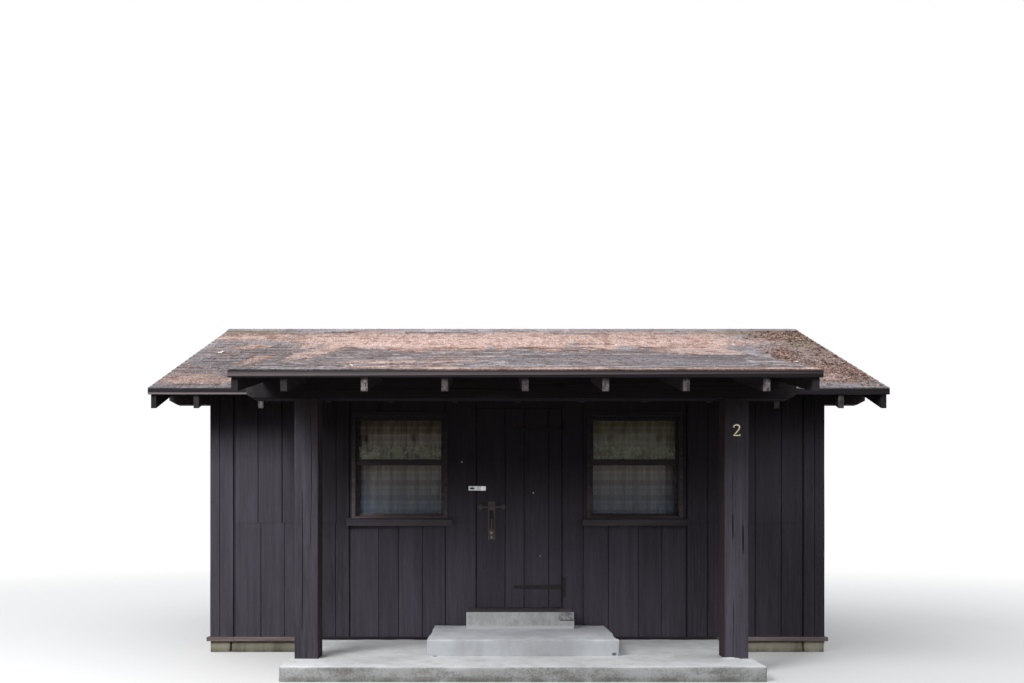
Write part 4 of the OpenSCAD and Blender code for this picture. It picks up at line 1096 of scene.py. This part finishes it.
def door_boards():
    """Four boards, with strips behind their seams and thinner boards between the strips."""
    solids = Solids(21)
    low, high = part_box("door_planks")
    wall = Wall((0, low.y, 0), (1, 0, 0), (0, -1, 0))
    seams = [low.x, *LEAF_SEAMS, high.x]
    boards = list(enumerate(zip(seams, seams[1:])))
    last = len(LEAF_SEAMS)
    behind_y = low.y + BOARD_T + CLEAR
    gap, edge_gap = 0.003, 0.0017
    for i, (a, b) in boards:
        seed = 40 + i
        left = edge_line(a, seed, gap if i else edge_gap)
        right = edge_line(b, seed + 1, -gap if i < last else -edge_gap)
        board(solids, wall, left, right, low.z, high.z, seed, solids.vary(0.12), bare_back=0.0)
    for u in LEAF_SEAMS:
        solids.block((u - STRIP_HALF, behind_y, low.z), (u + STRIP_HALF, high.y, high.z), LAP_TONE)
    beside_strip, beside_edge = STRIP_HALF + 0.0015, 0.002
    for i, (a, b) in boards:
        start = a + (beside_strip if i else beside_edge)
        end = b - (beside_strip if i < last else beside_edge)
        solids.block((start, behind_y, low.z), (end, high.y, high.z), LAP_TONE)
    solids.piece("door_boards", "door", ["door_planks"], body="door")


door_boards()


# ---------------------------------------------------------------- floor and roof boards

def floor_planks():
    """The floor's boards, each with a tone of its own."""
    solids = Solids(31)
    low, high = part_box("floor_boards")
    half_gap = 0.0006
    for a, b in courses(low.y, high.y, 0.145):
        solids.block((low.x, a + half_gap, low.z), (high.x, b - half_gap, high.z), solids.vary(0.15))
    solids.piece("floor_planks", "floor", ["floor_boards"])


class Slope:
    """A roof plane from its eave: s runs up the slope, h stands square to it."""

    def __init__(self, y, z, pitch, facing=1):
        length = math.hypot(1, pitch)
        self.y, self.z = y, z
        self.rise = (facing / length, pitch / length)
        self.out = (-facing * pitch / length, 1 / length)

    def point(self, x, s, h):
        return (x, self.y + s * self.rise[0] + h * self.out[0], self.z + s * self.rise[1] + h * self.out[1])

    def length_to(self, y):
        """Way up the slope to where it lies over y."""
        return (y - self.y) / self.rise[0]


main_low, main_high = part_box("main_shingles")
porch_low, porch_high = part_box("porch_shingles")
FRONT_SLOPE = Slope(main_low.y, main_low.z, MAIN_PITCH)
REAR_SLOPE = Slope(main_high.y, main_low.z, MAIN_PITCH, -1)
PORCH_SLOPE = Slope(porch_low.y, porch_low.z, PORCH_PITCH)
MAIN_LENGTH = FRONT_SLOPE.length_to(MID_Y)
PORCH_LENGTH = PORCH_SLOPE.length_to(porch_high.y)


def slope_block(solids, slope, x0, x1, s0, s1, h0, h1, tone=0.0):
    """A box that lies on a slope."""
    line = [(s0, h0), (s1, h0), (s1, h1), (s0, h1)]
    solids.sweep([[slope.point(x, s, h) for s, h in line] for x in (x0, x1)], tone)


def roof_deck():
    """Boards under the shingles, as wide as the deck solids and no thicker."""
    solids = Solids(32)
    inset, start, half_gap, under, over = 0.0105, 0.033, 0.001, -0.0249, -0.0003
    for slope, half, end in (
            (FRONT_SLOPE, main_high.x, MAIN_LENGTH - 0.012), (REAR_SLOPE, main_high.x, MAIN_LENGTH - 0.012),
            (PORCH_SLOPE, porch_high.x, PORCH_LENGTH - 0.33)):
        x = half - inset
        for a, b in courses(start, end, 0.185):
            slope_block(solids, slope, -x, x, a + half_gap, b - half_gap, under, over, solids.vary(0.15))
    solids.piece("roof_deck", "timber_x", ["roof_boards"])


floor_planks()
roof_deck()


# ---------------------------------------------------------------- shingles

EXPOSURE = 0.140
TAB_W = 0.305
TAB_GAP = 0.003
BUTT_H = 0.0088


def tab(solids, slope, x0, x1, s, length, tone):
    """One shingle tab: a thin wedge with a slightly uneven butt."""
    rings = []
    seed = solids.random.random() * 50
    for x in spread(x0, x1, 3):
        jog = 0.004 * wander(seed, x * 4)
        curl = 0.0009 * wander(seed + 9, x * 5)
        line = [(jog, BUTT_H - 0.0048), (jog, BUTT_H + curl), (jog + 0.012, BUTT_H + curl - 0.0004),
                (jog + length * 0.45, BUTT_H * 0.72 + curl / 2), (length * 0.75, BUTT_H * 0.45),
                (length, 0.0032), (length, 0.0012)]
        rings.append([slope.point(x, s + p, h) for p, h in line])
    # Painted shadow: the tones darken each tab's butt
    solids.sweep(rings, [tone + v for v in (-0.6, -0.28, 0.0, 0.03, -0.1, 0.0, 0.0)])


def shingle_slope(name, slope, half, length, nodes, seed):
    """Rows of tabs over a thin sheet, every second row half a tab aside."""
    solids = Solids(seed)
    inset, shortest, narrowest, first_row = 0.004, 0.03, 0.02, 0.009
    slope_block(solids, slope, -half, half, inset, length - inset, 0.0001, 0.0010)
    for row in range(math.ceil(length / EXPOSURE)):
        s = row * EXPOSURE
        reach = min(EXPOSURE * 1.35, length - s)
        if reach < shortest:
            continue
        x = -half - TAB_W * (0.5 * (row % 2) + solids.random.uniform(0.0, 0.08))
        row_tone = solids.vary(0.03)
        while x < half - narrowest:
            a, b = max(x + TAB_GAP, -half), min(x + TAB_W - TAB_GAP, half)
            if b - a > narrowest:
                start = s + (first_row if row == 0 else solids.vary(0.008))
                tab(solids, slope, a, b, start, reach, row_tone + solids.vary(0.14))
            x += TAB_W
    solids.piece(name, "shingle", nodes)


def ridge_shingles():
    """Bent caps along the ridge, each lapped over the next."""
    solids = Solids(44)
    low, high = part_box("ridge_cap")
    reach, bend, cap_t = high.y - MID_Y, 0.02, 0.0026
    peak = high.z - 0.0066
    for i, (start, end) in enumerate(courses(low.x, high.x, EXPOSURE)):
        rings = []
        for x, lift in ((start, 0.0), (min(start + (end - start) * 1.3, high.x), -0.0028)):
            wobble = 0.003 * wander(i * 1.3, x)
            line = []
            for y, h in ((-reach, 0.0040), (-bend, 0.0042), (0, 0.0026), (bend, 0.0042), (reach, 0.0040)):
                z = peak - MAIN_PITCH * abs(y) + h + lift
                line.append((x, MID_Y + y + (wobble if abs(y) == reach else 0), z))
            rings.append(line + [(x, y, z - cap_t) for _, y, z in reversed(line)])
        solids.sweep(rings, solids.vary(0.12))
    solids.piece("ridge_shingles", "shingle", ["ridge_cap"])


shingle_slope("front_slope_shingles", FRONT_SLOPE, main_high.x, MAIN_LENGTH, ["main_shingles"], 41)
shingle_slope("rear_slope_shingles", REAR_SLOPE, main_high.x, MAIN_LENGTH, (), 42)
shingle_slope("porch_slope_shingles", PORCH_SLOPE, porch_high.x, PORCH_LENGTH, ["porch_shingles"], 43)
ridge_shingles()


# ---------------------------------------------------------------- needles and leaves

LITTER_H = 0.006


def needles(name, slope, half, length, count, seed, chance):
    """Fallen needles, each a thin closed spindle, where chance(x, s) lets them lie."""
    solids = Solids(seed)
    rand = solids.random
    made = 0
    while made < count:
        x, s = rand.uniform(-half, half), rand.uniform(0.05, length)
        if rand.random() > chance(x, s):
            continue
        made += 1
        turn = rand.gauss(1.6, 0.8)
        long, thick = rand.uniform(0.045, 0.085), rand.uniform(0.0012, 0.0022)
        h = LITTER_H + rand.uniform(0.0, 0.008)
        tilt = rand.uniform(-0.004, 0.006)
        dx, ds = math.cos(turn) * long / 2, math.sin(turn) * long / 2
        bend = solids.vary(0.1) * long
        mid_x, mid_s = x - math.sin(turn) * bend, s + math.cos(turn) * bend
        points = [slope.point(x - dx, s - ds, h), slope.point(x + dx, s + ds, h + tilt)]
        for a in (0.5, 2.6, 4.7):
            points.append(slope.point(mid_x + thick * math.cos(a), mid_s + thick * math.cos(a + 2.1),
                                      h + tilt / 2 + thick * math.sin(a)))
        faces = [(0, 2, 3), (0, 3, 4), (0, 4, 2), (1, 3, 2), (1, 4, 3), (1, 2, 4)]
        solids.add(points, faces, solids.vary(0.35))
    solids.piece(name, "needle")


def banded(x, s):
    """Share of needles that stay on a main slope: in long drifts, most near the ridge and the ends."""
    drift = 0.5 + 0.5 * wander(x * 0.45, s * 2.3, 5.0) + 0.35 * wander(x * 1.6, s * 6, 9.0)
    return max(0.0, drift) * (0.35 + 0.65 * min(1.0, s / MAIN_LENGTH + abs(x) / 6))


def scattered(x, s):
    """Share of needles that stay on the porch roof."""
    return 0.3 + 0.5 * wander(x, s)


def inside(x, y, places):
    """1 in the middle of the nearest of some places, 0 on its outline and less beyond it."""
    return max(1 - ((x - a) / long) ** 2 - ((y - b) / deep) ** 2 for a, b, long, deep in places)


def pile(x, y):
    """Thickness of the litter at a place of a roof in shares of its most; none lies where it is 0 or less."""
    y = RIDGE_Y - abs(y - RIDGE_Y)
    ragged = 0.45 * wander(x * 2.2, y * 6) + 0.35 * wander(x * 8, y * 11, 4)
    tongue = y + 1.1 * wander(x * 2.2, y * 0.33, 7)
    most = max(0.8 * min(1.0, (tongue + 0.35) / 0.3) - max(0.0, abs(x) - 2.3) * 0.9,
               0.18 if abs(x) > 2.3 else 0.0, inside(x, y, NEEDLE_DRIFTS), inside(x, y, LEAF_DRIFTS),
               inside(x, y, MOSS_PATCHES))
    return min(1.0, most) + ragged - 1.6 * max(0.0, inside(x, y, BARE_PATCHES)) - 0.1


def litter_mat(name, slope, half, length, seed):
    """A mat of litter on a slope, with lumps, a flat underside and a rim where it ends."""
    cell_x, cell_s = 0.028, 0.055
    thinnest, lump_h, under = 0.0088, 0.013, 0.0016
    columns, rows = round(2 * half / cell_x), round((length - 0.02) / cell_s)
    solids = Solids(seed)
    index = {}

    def place_of(c, r):
        return -half + 2 * half * c / columns, 0.02 + (length - 0.02) * r / rows

    def thick(c, r):
        x, s = place_of(c, r)
        return pile(x, slope.point(x, s, 0)[1])

    def corner(c, r, top):
        key = (c, r, top)
        if key not in index:
            x, s = place_of(c, r)
            lumps = 0.5 + 0.5 * wander(x * 14, s * 5, seed) + 0.5 * wander(x * 34, s * 12, seed)
            share = max(0.0, lumps) * max(0.0, min(1.0, 2 * thick(c, r)))
            h = thinnest + lump_h * share if top else under
            index[key] = len(solids.points)
            solids.points.append(slope.point(x, s, h))
            for mark in solids.marks.values():
                mark.append(0.0)
        return index[key]

    kept = {(c, r) for c in range(columns) for r in range(rows) if thick(c + 0.5, r + 0.5) > 0}
    kept = {(c, r) for c, r in kept if (c - 1, r) in kept or (c + 1, r) in kept}
    for c, r in kept:
        square = [(c, r), (c + 1, r), (c + 1, r + 1), (c, r + 1)]
        solids.faces.append([corner(*p, True) for p in square])
        solids.faces.append([corner(*p, False) for p in reversed(square)])
        for i, beside in enumerate(((c, r - 1), (c + 1, r), (c, r + 1), (c - 1, r))):
            if beside not in kept:
                a, b = square[i], square[(i + 1) % 4]
                ends = ((a, False), (b, False), (b, True), (a, True))
                solids.faces.append([corner(*point, top) for point, top in ends])
    solids.piece(name, "shingle", smooth=60)


def leaf(solids, slope, x, s, h, long):
    """A curled dead leaf: a closed lens with a raised middle rib."""
    rand = solids.random
    turn = rand.uniform(0, math.tau)
    wide, curl = long * rand.uniform(0.45, 0.7), rand.uniform(-0.012, 0.016)
    outline = [(-long, 0, 0), (0, -wide, curl), (long, 0, 0.004), (0, wide, curl)]
    middle = [(0, 0, 0.0035), (0, 0, 0.0015)]
    across, up = math.cos(turn), math.sin(turn)
    points = [slope.point(x + a * across - b * up, s + a * up + b * across, h + c)
              for a, b, c in outline + middle]
    faces = [(i, (i + 1) % 4, 4) for i in range(4)] + [((i + 1) % 4, i, 5) for i in range(4)]
    solids.add(points, faces, rand.uniform(-0.5, 0.3))


def pale_leaves():
    """Pairs of bleached leaves that catch the eye on the roofs."""
    solids = Solids(55)
    for slope, x, y in (
            (FRONT_SLOPE, -3.2, -0.41), (PORCH_SLOPE, -1.357, -3.35), (PORCH_SLOPE, 1.853, -2.85),
            (PORCH_SLOPE, 2.22, -2.9)):
        for dx, dy in ((0, 0), (0.02, 0.03)):
            leaf(solids, slope, x + dx, slope.length_to(y + dy), 0.022, 0.034)
    solids.piece("pale_leaves", "pale_leaf")


def dead_leaves():
    """Dead leaves in drifts at the right end of the front slope."""
    solids = Solids(54)
    rand = solids.random
    for _ in range(3200):
        at_x, at_y, long, deep = rand.choice((*LEAF_DRIFTS, MOSS_PATCHES[0]))
        x = min(main_high.x - 0.06, rand.gauss(at_x, long * 0.6))
        y = min(RIDGE_Y - 0.2, rand.gauss(at_y, deep * 0.6))
        s = max(0.08, FRONT_SLOPE.length_to(y))
        leaf(solids, FRONT_SLOPE, x, s, rand.uniform(0.010, 0.022), rand.uniform(0.011, 0.024))
    solids.piece("roof_leaves", "leaf")


needles("front_needles", FRONT_SLOPE, 3.4, MAIN_LENGTH - 0.08, 14000, 51, banded)
needles("rear_needles", REAR_SLOPE, 3.4, MAIN_LENGTH - 0.08, 7000, 52, banded)
needles("porch_needles", PORCH_SLOPE, 2.2, PORCH_LENGTH - 0.05, 2500, 53, scattered)
dead_leaves()
pale_leaves()
litter_mat("front_litter_mat", FRONT_SLOPE, main_high.x - 0.03, MAIN_LENGTH - 0.16, 1)
litter_mat("rear_litter_mat", REAR_SLOPE, main_high.x - 0.03, MAIN_LENGTH - 0.16, 2)
litter_mat("porch_litter_mat", PORCH_SLOPE, porch_high.x - 0.02, PORCH_LENGTH - 0.02, 3)


# ---------------------------------------------------------------- posts and beam

CHECK_TAPER = 0.2

# Open checks in a timber, each (face, place across, width, depth, start, end)
LEFT_CHECKS = (
    (0, 0.32, 0.007, 0.010, 0.15, 1.5), (0, 0.68, 0.006, 0.008, 0.9, 2.15), (0, 0.79, 0.02, 0.02, 0.0, 0.2),
    (1, 0.5, 0.008, 0.012, 0.3, 1.9), (3, 0.45, 0.008, 0.012, 0.2, 2.0))
RIGHT_CHECKS = (
    (0, 0.36, 0.012, 0.026, 0.95, 1.30), (0, 0.77, 0.012, 0.028, 0.84, 1.20),
    (0, 0.38, 0.006, 0.010, -0.1, 0.55), (0, 0.30, 0.004, 0.006, 1.2, 1.7),
    (3, 0.55, 0.008, 0.012, 0.3, 1.8), (1, 0.4, 0.008, 0.01, 0.1, 1.4))
BEAM_CHECKS = ((0, 0.4, 0.006, 0.008, 0.4, 2.4), (0, 0.7, 0.005, 0.006, 2.6, 4.4))


def timber(solids, section_w, section_h, chamfer, length, to_point, seed, checks):
    """A squared timber with worn faces and open checks; to_point maps across, deep and along to the frame."""
    half_w, half_h = section_w / 2, section_h / 2
    ring_gap, uneven = 0.05, 0.0014
    sides = [((-half_w, -half_h), (1, 0), section_w), ((half_w, -half_h), (0, 1), section_h),
             ((half_w, half_h), (-1, 0), section_w), ((-half_w, half_h), (0, -1), section_h)]
    rings = []
    for z in spread(0.0, length, round(length / ring_gap)):
        ring = []
        for face, ((x0, y0), (dx, dy), width) in enumerate(sides):
            # (-dy, dx) points into the timber
            stops = [(chamfer, 0.0), (width * 0.3, 0.0), (width * 0.7, 0.0), (width - chamfer, 0.0)]
            for check_face, at, wide, depth, start, end in checks:
                if check_face != face:
                    continue
                share = max(0.0, min(1.0, (z - start) / CHECK_TAPER, (end - z) / CHECK_TAPER))
                centre = at * width + 0.012 * wander(at * 30 + seed, z * 0.9)
                stops += [(centre - wide / 2, 0.0), (centre, depth * share), (centre + wide / 2, 0.0)]
            for at, depth in sorted(stops):
                sink = depth + uneven + uneven * wander(x0 * 9 + at * 14 + seed, y0 * 9, z * 1.7)
                ring.append((x0 + dx * at - dy * sink, y0 + dy * at + dx * sink))
        rings.append([to_point(a, b, z) for a, b in ring])
    solids.sweep(rings)


def porch_posts():
    solids = Solids()
    low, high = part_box("porch_posts")
    width = high.y - low.y
    mid_y = (low.y + high.y) / 2
    for x, seed, checks in ((low.x + width / 2, 3.0, LEFT_CHECKS), (high.x - width / 2, 7.0, RIGHT_CHECKS)):
        timber(solids, width, width, 0.007, high.z - low.z,
               lambda a, b, z, x=x: (x + a, mid_y + b, low.z + z), seed, checks)
    solids.piece("porch_timber_posts", "post", ["porch_posts"], smooth=40)


def porch_beam():
    """The beam's ends are bevelled below, like its CAD node."""
    solids = Solids()
    low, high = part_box("porch_beam")
    bevel = 0.035
    depth, height = high.y - low.y, high.z - low.z
    mid_y, mid_z = (low.y + high.y) / 2, (low.z + high.z) / 2

    def to_point(a, b, along):
        x = low.x + along
        underside = low.z + max(0.0, bevel - min(x - low.x, high.x - x))
        return (x, mid_y + b, max(mid_z + a, underside))

    timber(solids, height, depth, 0.006, high.x - low.x, to_point, 5.0, BEAM_CHECKS)
    solids.piece("porch_timber_beam", "beam", ["porch_beam"], smooth=40)


porch_posts()
porch_beam()


# ---------------------------------------------------------------- concrete

CHIP_REACH = 0.035


def stations(low, high, cell):
    """Places from low to high, closer near both ends."""
    near = [v for v in (0.0, 0.006, 0.016, CHIP_REACH) if v < (high - low) / 2.2]
    first, last = low + near[-1], high - near[-1]
    inner = np.linspace(first, last, max(2, round((high - low - 2 * near[-1]) / cell) + 1))[1:-1]
    return [*(low + v for v in near), *inner, *(high - v for v in reversed(near))]


def worn_point(place, low, high, chip, seed, sag):
    """Where a point of a block's faces lies once its upper edges are chipped and its faces uneven."""
    x, y, z = place
    near = [min(p - a, b - p) for p, a, b in zip(place, low, high)]
    side = [1 if p - a < b - p else -1 for p, a, b in zip(place, low, high)]
    if side[2] == 1:
        near[2] = 1.0
    bite = chip * max(0.12, 0.45 + 0.9 * wander(x * 5 + seed, y * 5, z * 9)
                      + 0.35 * wander(x * 23, y * 23 + seed, z * 20))
    rough = 0.0012 * (1 + wander(x * 3.1, y * 3.1 + seed, z * 6))
    moved = list(place)
    for i in range(3):
        other = min(near[j] for j in range(3) if j != i)
        if near[i] < CHIP_REACH and other < CHIP_REACH:
            moved[i] += side[i] * bite * (1 - other / CHIP_REACH) ** 2 * (1 - near[i] / CHIP_REACH)
    for i in range(3):
        if near[i] == 0:
            moved[i] += side[i] * rough
    if sag and side[2] == -1:
        middle = max(0.0, 1 - ((x - (low[0] + high[0]) / 2) / (0.42 * (high[0] - low[0]))) ** 2)
        moved[2] -= sag * middle * max(0.0, 1 - (y - low[1]) / 0.25) ** 2
    return tuple(moved)


def worn_block(solids, low, high, cell, chip, seed, tone=0.0, sag=0.0):
    """A cast block with chipped upper edges, uneven faces, and perhaps a sagged front edge."""
    lines = [stations(low[i], high[i], cell) for i in range(3)]
    counts = [len(line) for line in lines]
    index, points, faces = {}, [], []

    def vertex(key):
        if key not in index:
            index[key] = len(points)
            points.append(worn_point([lines[i][key[i]] for i in range(3)], low, high, chip, seed, sag))
        return index[key]

    for axis in range(3):
        u, v = [i for i in range(3) if i != axis]
        for end, i, j in product((0, counts[axis] - 1), range(counts[u] - 1), range(counts[v] - 1)):
            quad = []
            for di, dj in ((0, 0), (1, 0), (1, 1), (0, 1)):
                key = [0, 0, 0]
                key[axis], key[u], key[v] = end, i + di, j + dj
                quad.append(vertex(tuple(key)))
            faces.append(quad)
    solids.add(points, faces, tone)


def concrete_piece(name, node, material, cell, chip, seed, **settings):
    """A worn block in place of a CAD node that is one block."""
    solids = Solids()
    low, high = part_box(node)
    worn_block(solids, low, high, cell, chip, seed, **settings)
    solids.piece(name, material, [node], smooth=50)


def footings():
    """Foundation strips and piers; each CAD node holds four blocks."""
    solids = Solids()
    low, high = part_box("foundation_walls")
    top, wide, start = high.z, 0.18, 0.215
    for y in (low.y, high.y - wide):
        worn_block(solids, (-HALF_W + start, y, 0), (HALF_W - start, y + wide, top), 0.09, 0.008, 4)
    for x in (low.x, high.x - wide):
        worn_block(solids, (x, FRONT_Y + start, 0), (x + wide, REAR_Y - start, top), 0.09, 0.008, 5)
    solids.piece("footing_strips", "footing", ["foundation_walls"], smooth=50)
    piers = Solids()
    side = 0.205
    for x in (-HALF_W, HALF_W - side):
        for y in (FRONT_Y, REAR_Y - side):
            worn_block(piers, (x, y, 0), (x + side, y + side, top), 0.04, 0.010, 6 + x, 0.25)
    piers.piece("footing_piers", "footing", ["corner_piers"], smooth=50)


def post_mortar():
    """A smear of mortar round the foot of the right post."""
    solids = Solids()
    low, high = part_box("porch_posts")
    width = high.y - low.y
    left, back, foot = high.x - width - 0.03, low.y + 0.004, low.z - 0.002
    steps, thickest = 12, 0.024
    rings = []
    for k in range(steps + 1):
        x = left + width * 0.75 * k / steps
        out = thickest * math.sin(math.pi * (k + 0.4) / (steps + 0.8)) + 0.005 * wander(x * 30, 1)
        rings.append([(x, back, foot), (x, low.y - out, foot), (x, low.y - out * 0.7, low.z + 0.004),
                      (x, back, low.z + 0.003 + out * 0.4)])
    solids.sweep(rings, 0.1)
    solids.piece("post_mortar", "concrete", smooth=50)


concrete_piece("slab_concrete", "porch_slab", "slab", 0.05, 0.010, 71, sag=0.008)
concrete_piece("step_concrete", "porch_step", "step", 0.035, 0.011, 72, tone=0.03)
concrete_piece("door_step_concrete", "door_step", "door_step", 0.03, 0.006, 73)
footings()
post_mortar()


# ---------------------------------------------------------------- curtains

FOLD_W = 0.0689
FOLD_DEEP = 0.0115
FOLD_STEPS = 14
FALL_STEPS = 22
ROD_R = 0.008
POCKET_END = -0.03
CURTAIN_BACK = -0.0105

# A curtain's rows round its rod, each (height over the rod, place before it)
POCKET = [(POCKET_END, 0.0105), (-0.012, 0.0105), (0.0, 0.0102), (0.0072, 0.0072), (0.0102, 0.0),
          (0.0072, -0.0072), (0.0, -0.0102), (-0.012, CURTAIN_BACK)]


def fold_depth(u, z, side, start, phase):
    """How far out a place on a curtain stands; side is its row's place before the rod, if it has one."""
    below = POCKET_END - z
    deep = 0.0015 if side is not None else FOLD_DEEP * min(1.0, 0.3 + 6 * below)
    base = side if side is not None else CURTAIN_BACK * max(0.0, 1 - below * 12)
    turn = math.tau * (u - start) / FOLD_W + phase + 0.9 * wander(u * 6, z * 0.8, phase)
    return base + deep * math.sin(turn) * (1 + 0.25 * wander(u * 9, z * 1.1, 4 + phase))


def curtain(name, wall, start, end, rod_z, drop, phase):
    """A curtain gathered on its rod: a closed sheet 1 mm thick that falls in even folds."""
    columns = round((end - start) / FOLD_W) * FOLD_STEPS
    rows = POCKET + [(z, None) for z in spread(POCKET_END, -drop, FALL_STEPS)]
    points, own = [], []
    length = flat_w = 0.0
    for r, (z, side) in enumerate(rows):
        if r:
            before_z, before_side = rows[r - 1]
            # The row right over the rod counts as the back's, like those below the pocket
            length += math.hypot(z - before_z, (side or CURTAIN_BACK) - (before_side or CURTAIN_BACK))
        flat, last = 0.0, None
        for c, u in enumerate(spread(start, end, columns)):
            h = fold_depth(u, z, side, start, phase)
            if last is not None:
                flat += math.hypot(u - last[0], h - last[1])
            last = (u, h)
            points.append(wall.point(u + 0.004 * wander(c * 0.3, z * 1.5, phase), h, rod_z + z))
            own.append((flat, length, 0))
        flat_w = max(flat_w, flat)
    n = columns + 1
    faces = [(r * n + c, r * n + c + 1, (r + 1) * n + c + 1, (r + 1) * n + c)
             for r in range(len(rows) - 1) for c in range(columns)]
    mesh = bpy.data.meshes.new(name)
    mesh.from_pydata(points, [], faces)
    mesh.shade_smooth()
    place_of = mesh.attributes.new("cloth", "FLOAT_VECTOR", "POINT")
    place_of.data.foreach_set("vector", [v for p in own for v in p])
    made = add_piece(mesh, "cloth", ["curtains"])
    made.modifiers.new("thickness", "SOLIDIFY").thickness = 0.0009


def curtains():
    """Two curtains behind each window, seen from outside: a on the left, b on the right."""
    rod_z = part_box("curtain_rods")[1].z - ROD_R
    drop = rod_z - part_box("curtains")[0].z
    in_wall, half, parting = 0.155, 0.489, 0.0035
    walls = (
        ("front_left", Wall((-WINDOW_X, FRONT_Y + in_wall, 0), (1, 0, 0), (0, -1, 0))),
        ("front_right", Wall((WINDOW_X, FRONT_Y + in_wall, 0), (1, 0, 0), (0, -1, 0))),
        ("rear_left", Wall((-WINDOW_X, REAR_Y - in_wall, 0), (-1, 0, 0), (0, 1, 0))),
        ("rear_right", Wall((WINDOW_X, REAR_Y - in_wall, 0), (-1, 0, 0), (0, 1, 0))),
        ("gable_left", Wall((-HALF_W + in_wall, MID_Y, 0), (0, -1, 0), (-1, 0, 0))),
        ("gable_right", Wall((HALF_W - in_wall, MID_Y, 0), (0, 1, 0), (1, 0, 0))))
    for i, (name, wall) in enumerate(walls):
        for j, (side, start, end) in enumerate((("a", -half, -parting), ("b", parting, half))):
            curtain(f"curtain_{name}_{side}", wall, start, end, rod_z, drop, i * 1.7 + j)


curtains()


# ---------------------------------------------------------------- small pieces

def numeral():
    """A plain figure two on the right post."""
    centre, height = (1.828, 2.071), 0.093
    outline = [(-0.27, 0.27), (-0.25, 0.42), (-0.08, 0.5), (0.12, 0.5), (0.27, 0.38), (0.27, 0.2),
               (0.14, 0.0), (-0.1, -0.26), (-0.27, -0.47), (0.30, -0.47), (0.32, -0.36)]
    line = bpy.data.curves.new("numeral_two", "CURVE")
    line.dimensions = "3D"
    line.bevel_depth = 0.0068
    line.bevel_resolution = 2
    line.resolution_u = 8
    spline = line.splines.new("BEZIER")
    spline.bezier_points.add(len(outline) - 1)
    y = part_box("porch_posts")[0].y - 0.002
    for point, (x, z) in zip(spline.bezier_points, outline):
        point.co = (centre[0] + 0.93 * x * height, y, centre[1] + z * height)
        on_foot = z == -0.47
        point.handle_left_type = point.handle_right_type = "VECTOR" if on_foot else "AUTO"
    add_piece(line, "brass")


def dome(solids, x, y, z, radius, height):
    """A low round head on a front face."""
    rings = []
    for share, out in ((1.0, 0.0), (1.0, 0.35), (0.75, 0.8), (0.35, 1.0)):
        rings.append([(x + radius * share * math.cos(a), y - height * out, z + radius * share * math.sin(a))
                      for a in np.linspace(0, math.tau, 16, endpoint=False)])
    solids.sweep(rings)


def heads(name, material, body, *domes):
    """A piece of some domes, each (centre, radius, height)."""
    solids = Solids()
    for centre, radius, height in domes:
        dome(solids, *centre, radius, height)
    solids.piece(name, material, body=body, smooth=40)


def small_ironwork():
    """Screws on the hasp, nail heads that have lost their paint, the pull plate's rosette and the painted
    shade of its recess.
    """
    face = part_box("door_planks")[0].y + 0.0012
    grip_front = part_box("door_latch")[0].y
    pull_x, nail = -0.2545, (0.0062, 0.0025)
    heads("door_screws", "zinc", "door",
          *(((x, face - 0.0052, z), 0.0042, 0.0016) for x in (-0.358, -0.330) for z in (1.606, 1.638)),
          *(((x, face, z), *nail) for x, z in ((0.158, 1.577), (0.226, 0.952))))
    heads("wall_nail", "zinc", "cabin", ((-0.55, FRONT_Y + 0.001, 1.884), *nail))
    heads("pull_rosette", "old_brass", "door", ((pull_x, grip_front + 0.004, 1.183), 0.017, 0.008),
          ((pull_x, face - 0.0045, 1.138), 0.013, 0.003))
    # Painted shade: a dark iron sheet behind the grip stands for the shade of a recess
    grip_shade = Solids()
    grip_shade.block((pull_x - 0.022, face - 0.0048, 1.215), (pull_x + 0.022, face - 0.0035, 1.405))
    grip_shade.piece("pull_grip_shade", "iron", body="door")


numeral()
small_ironwork()

low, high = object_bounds()
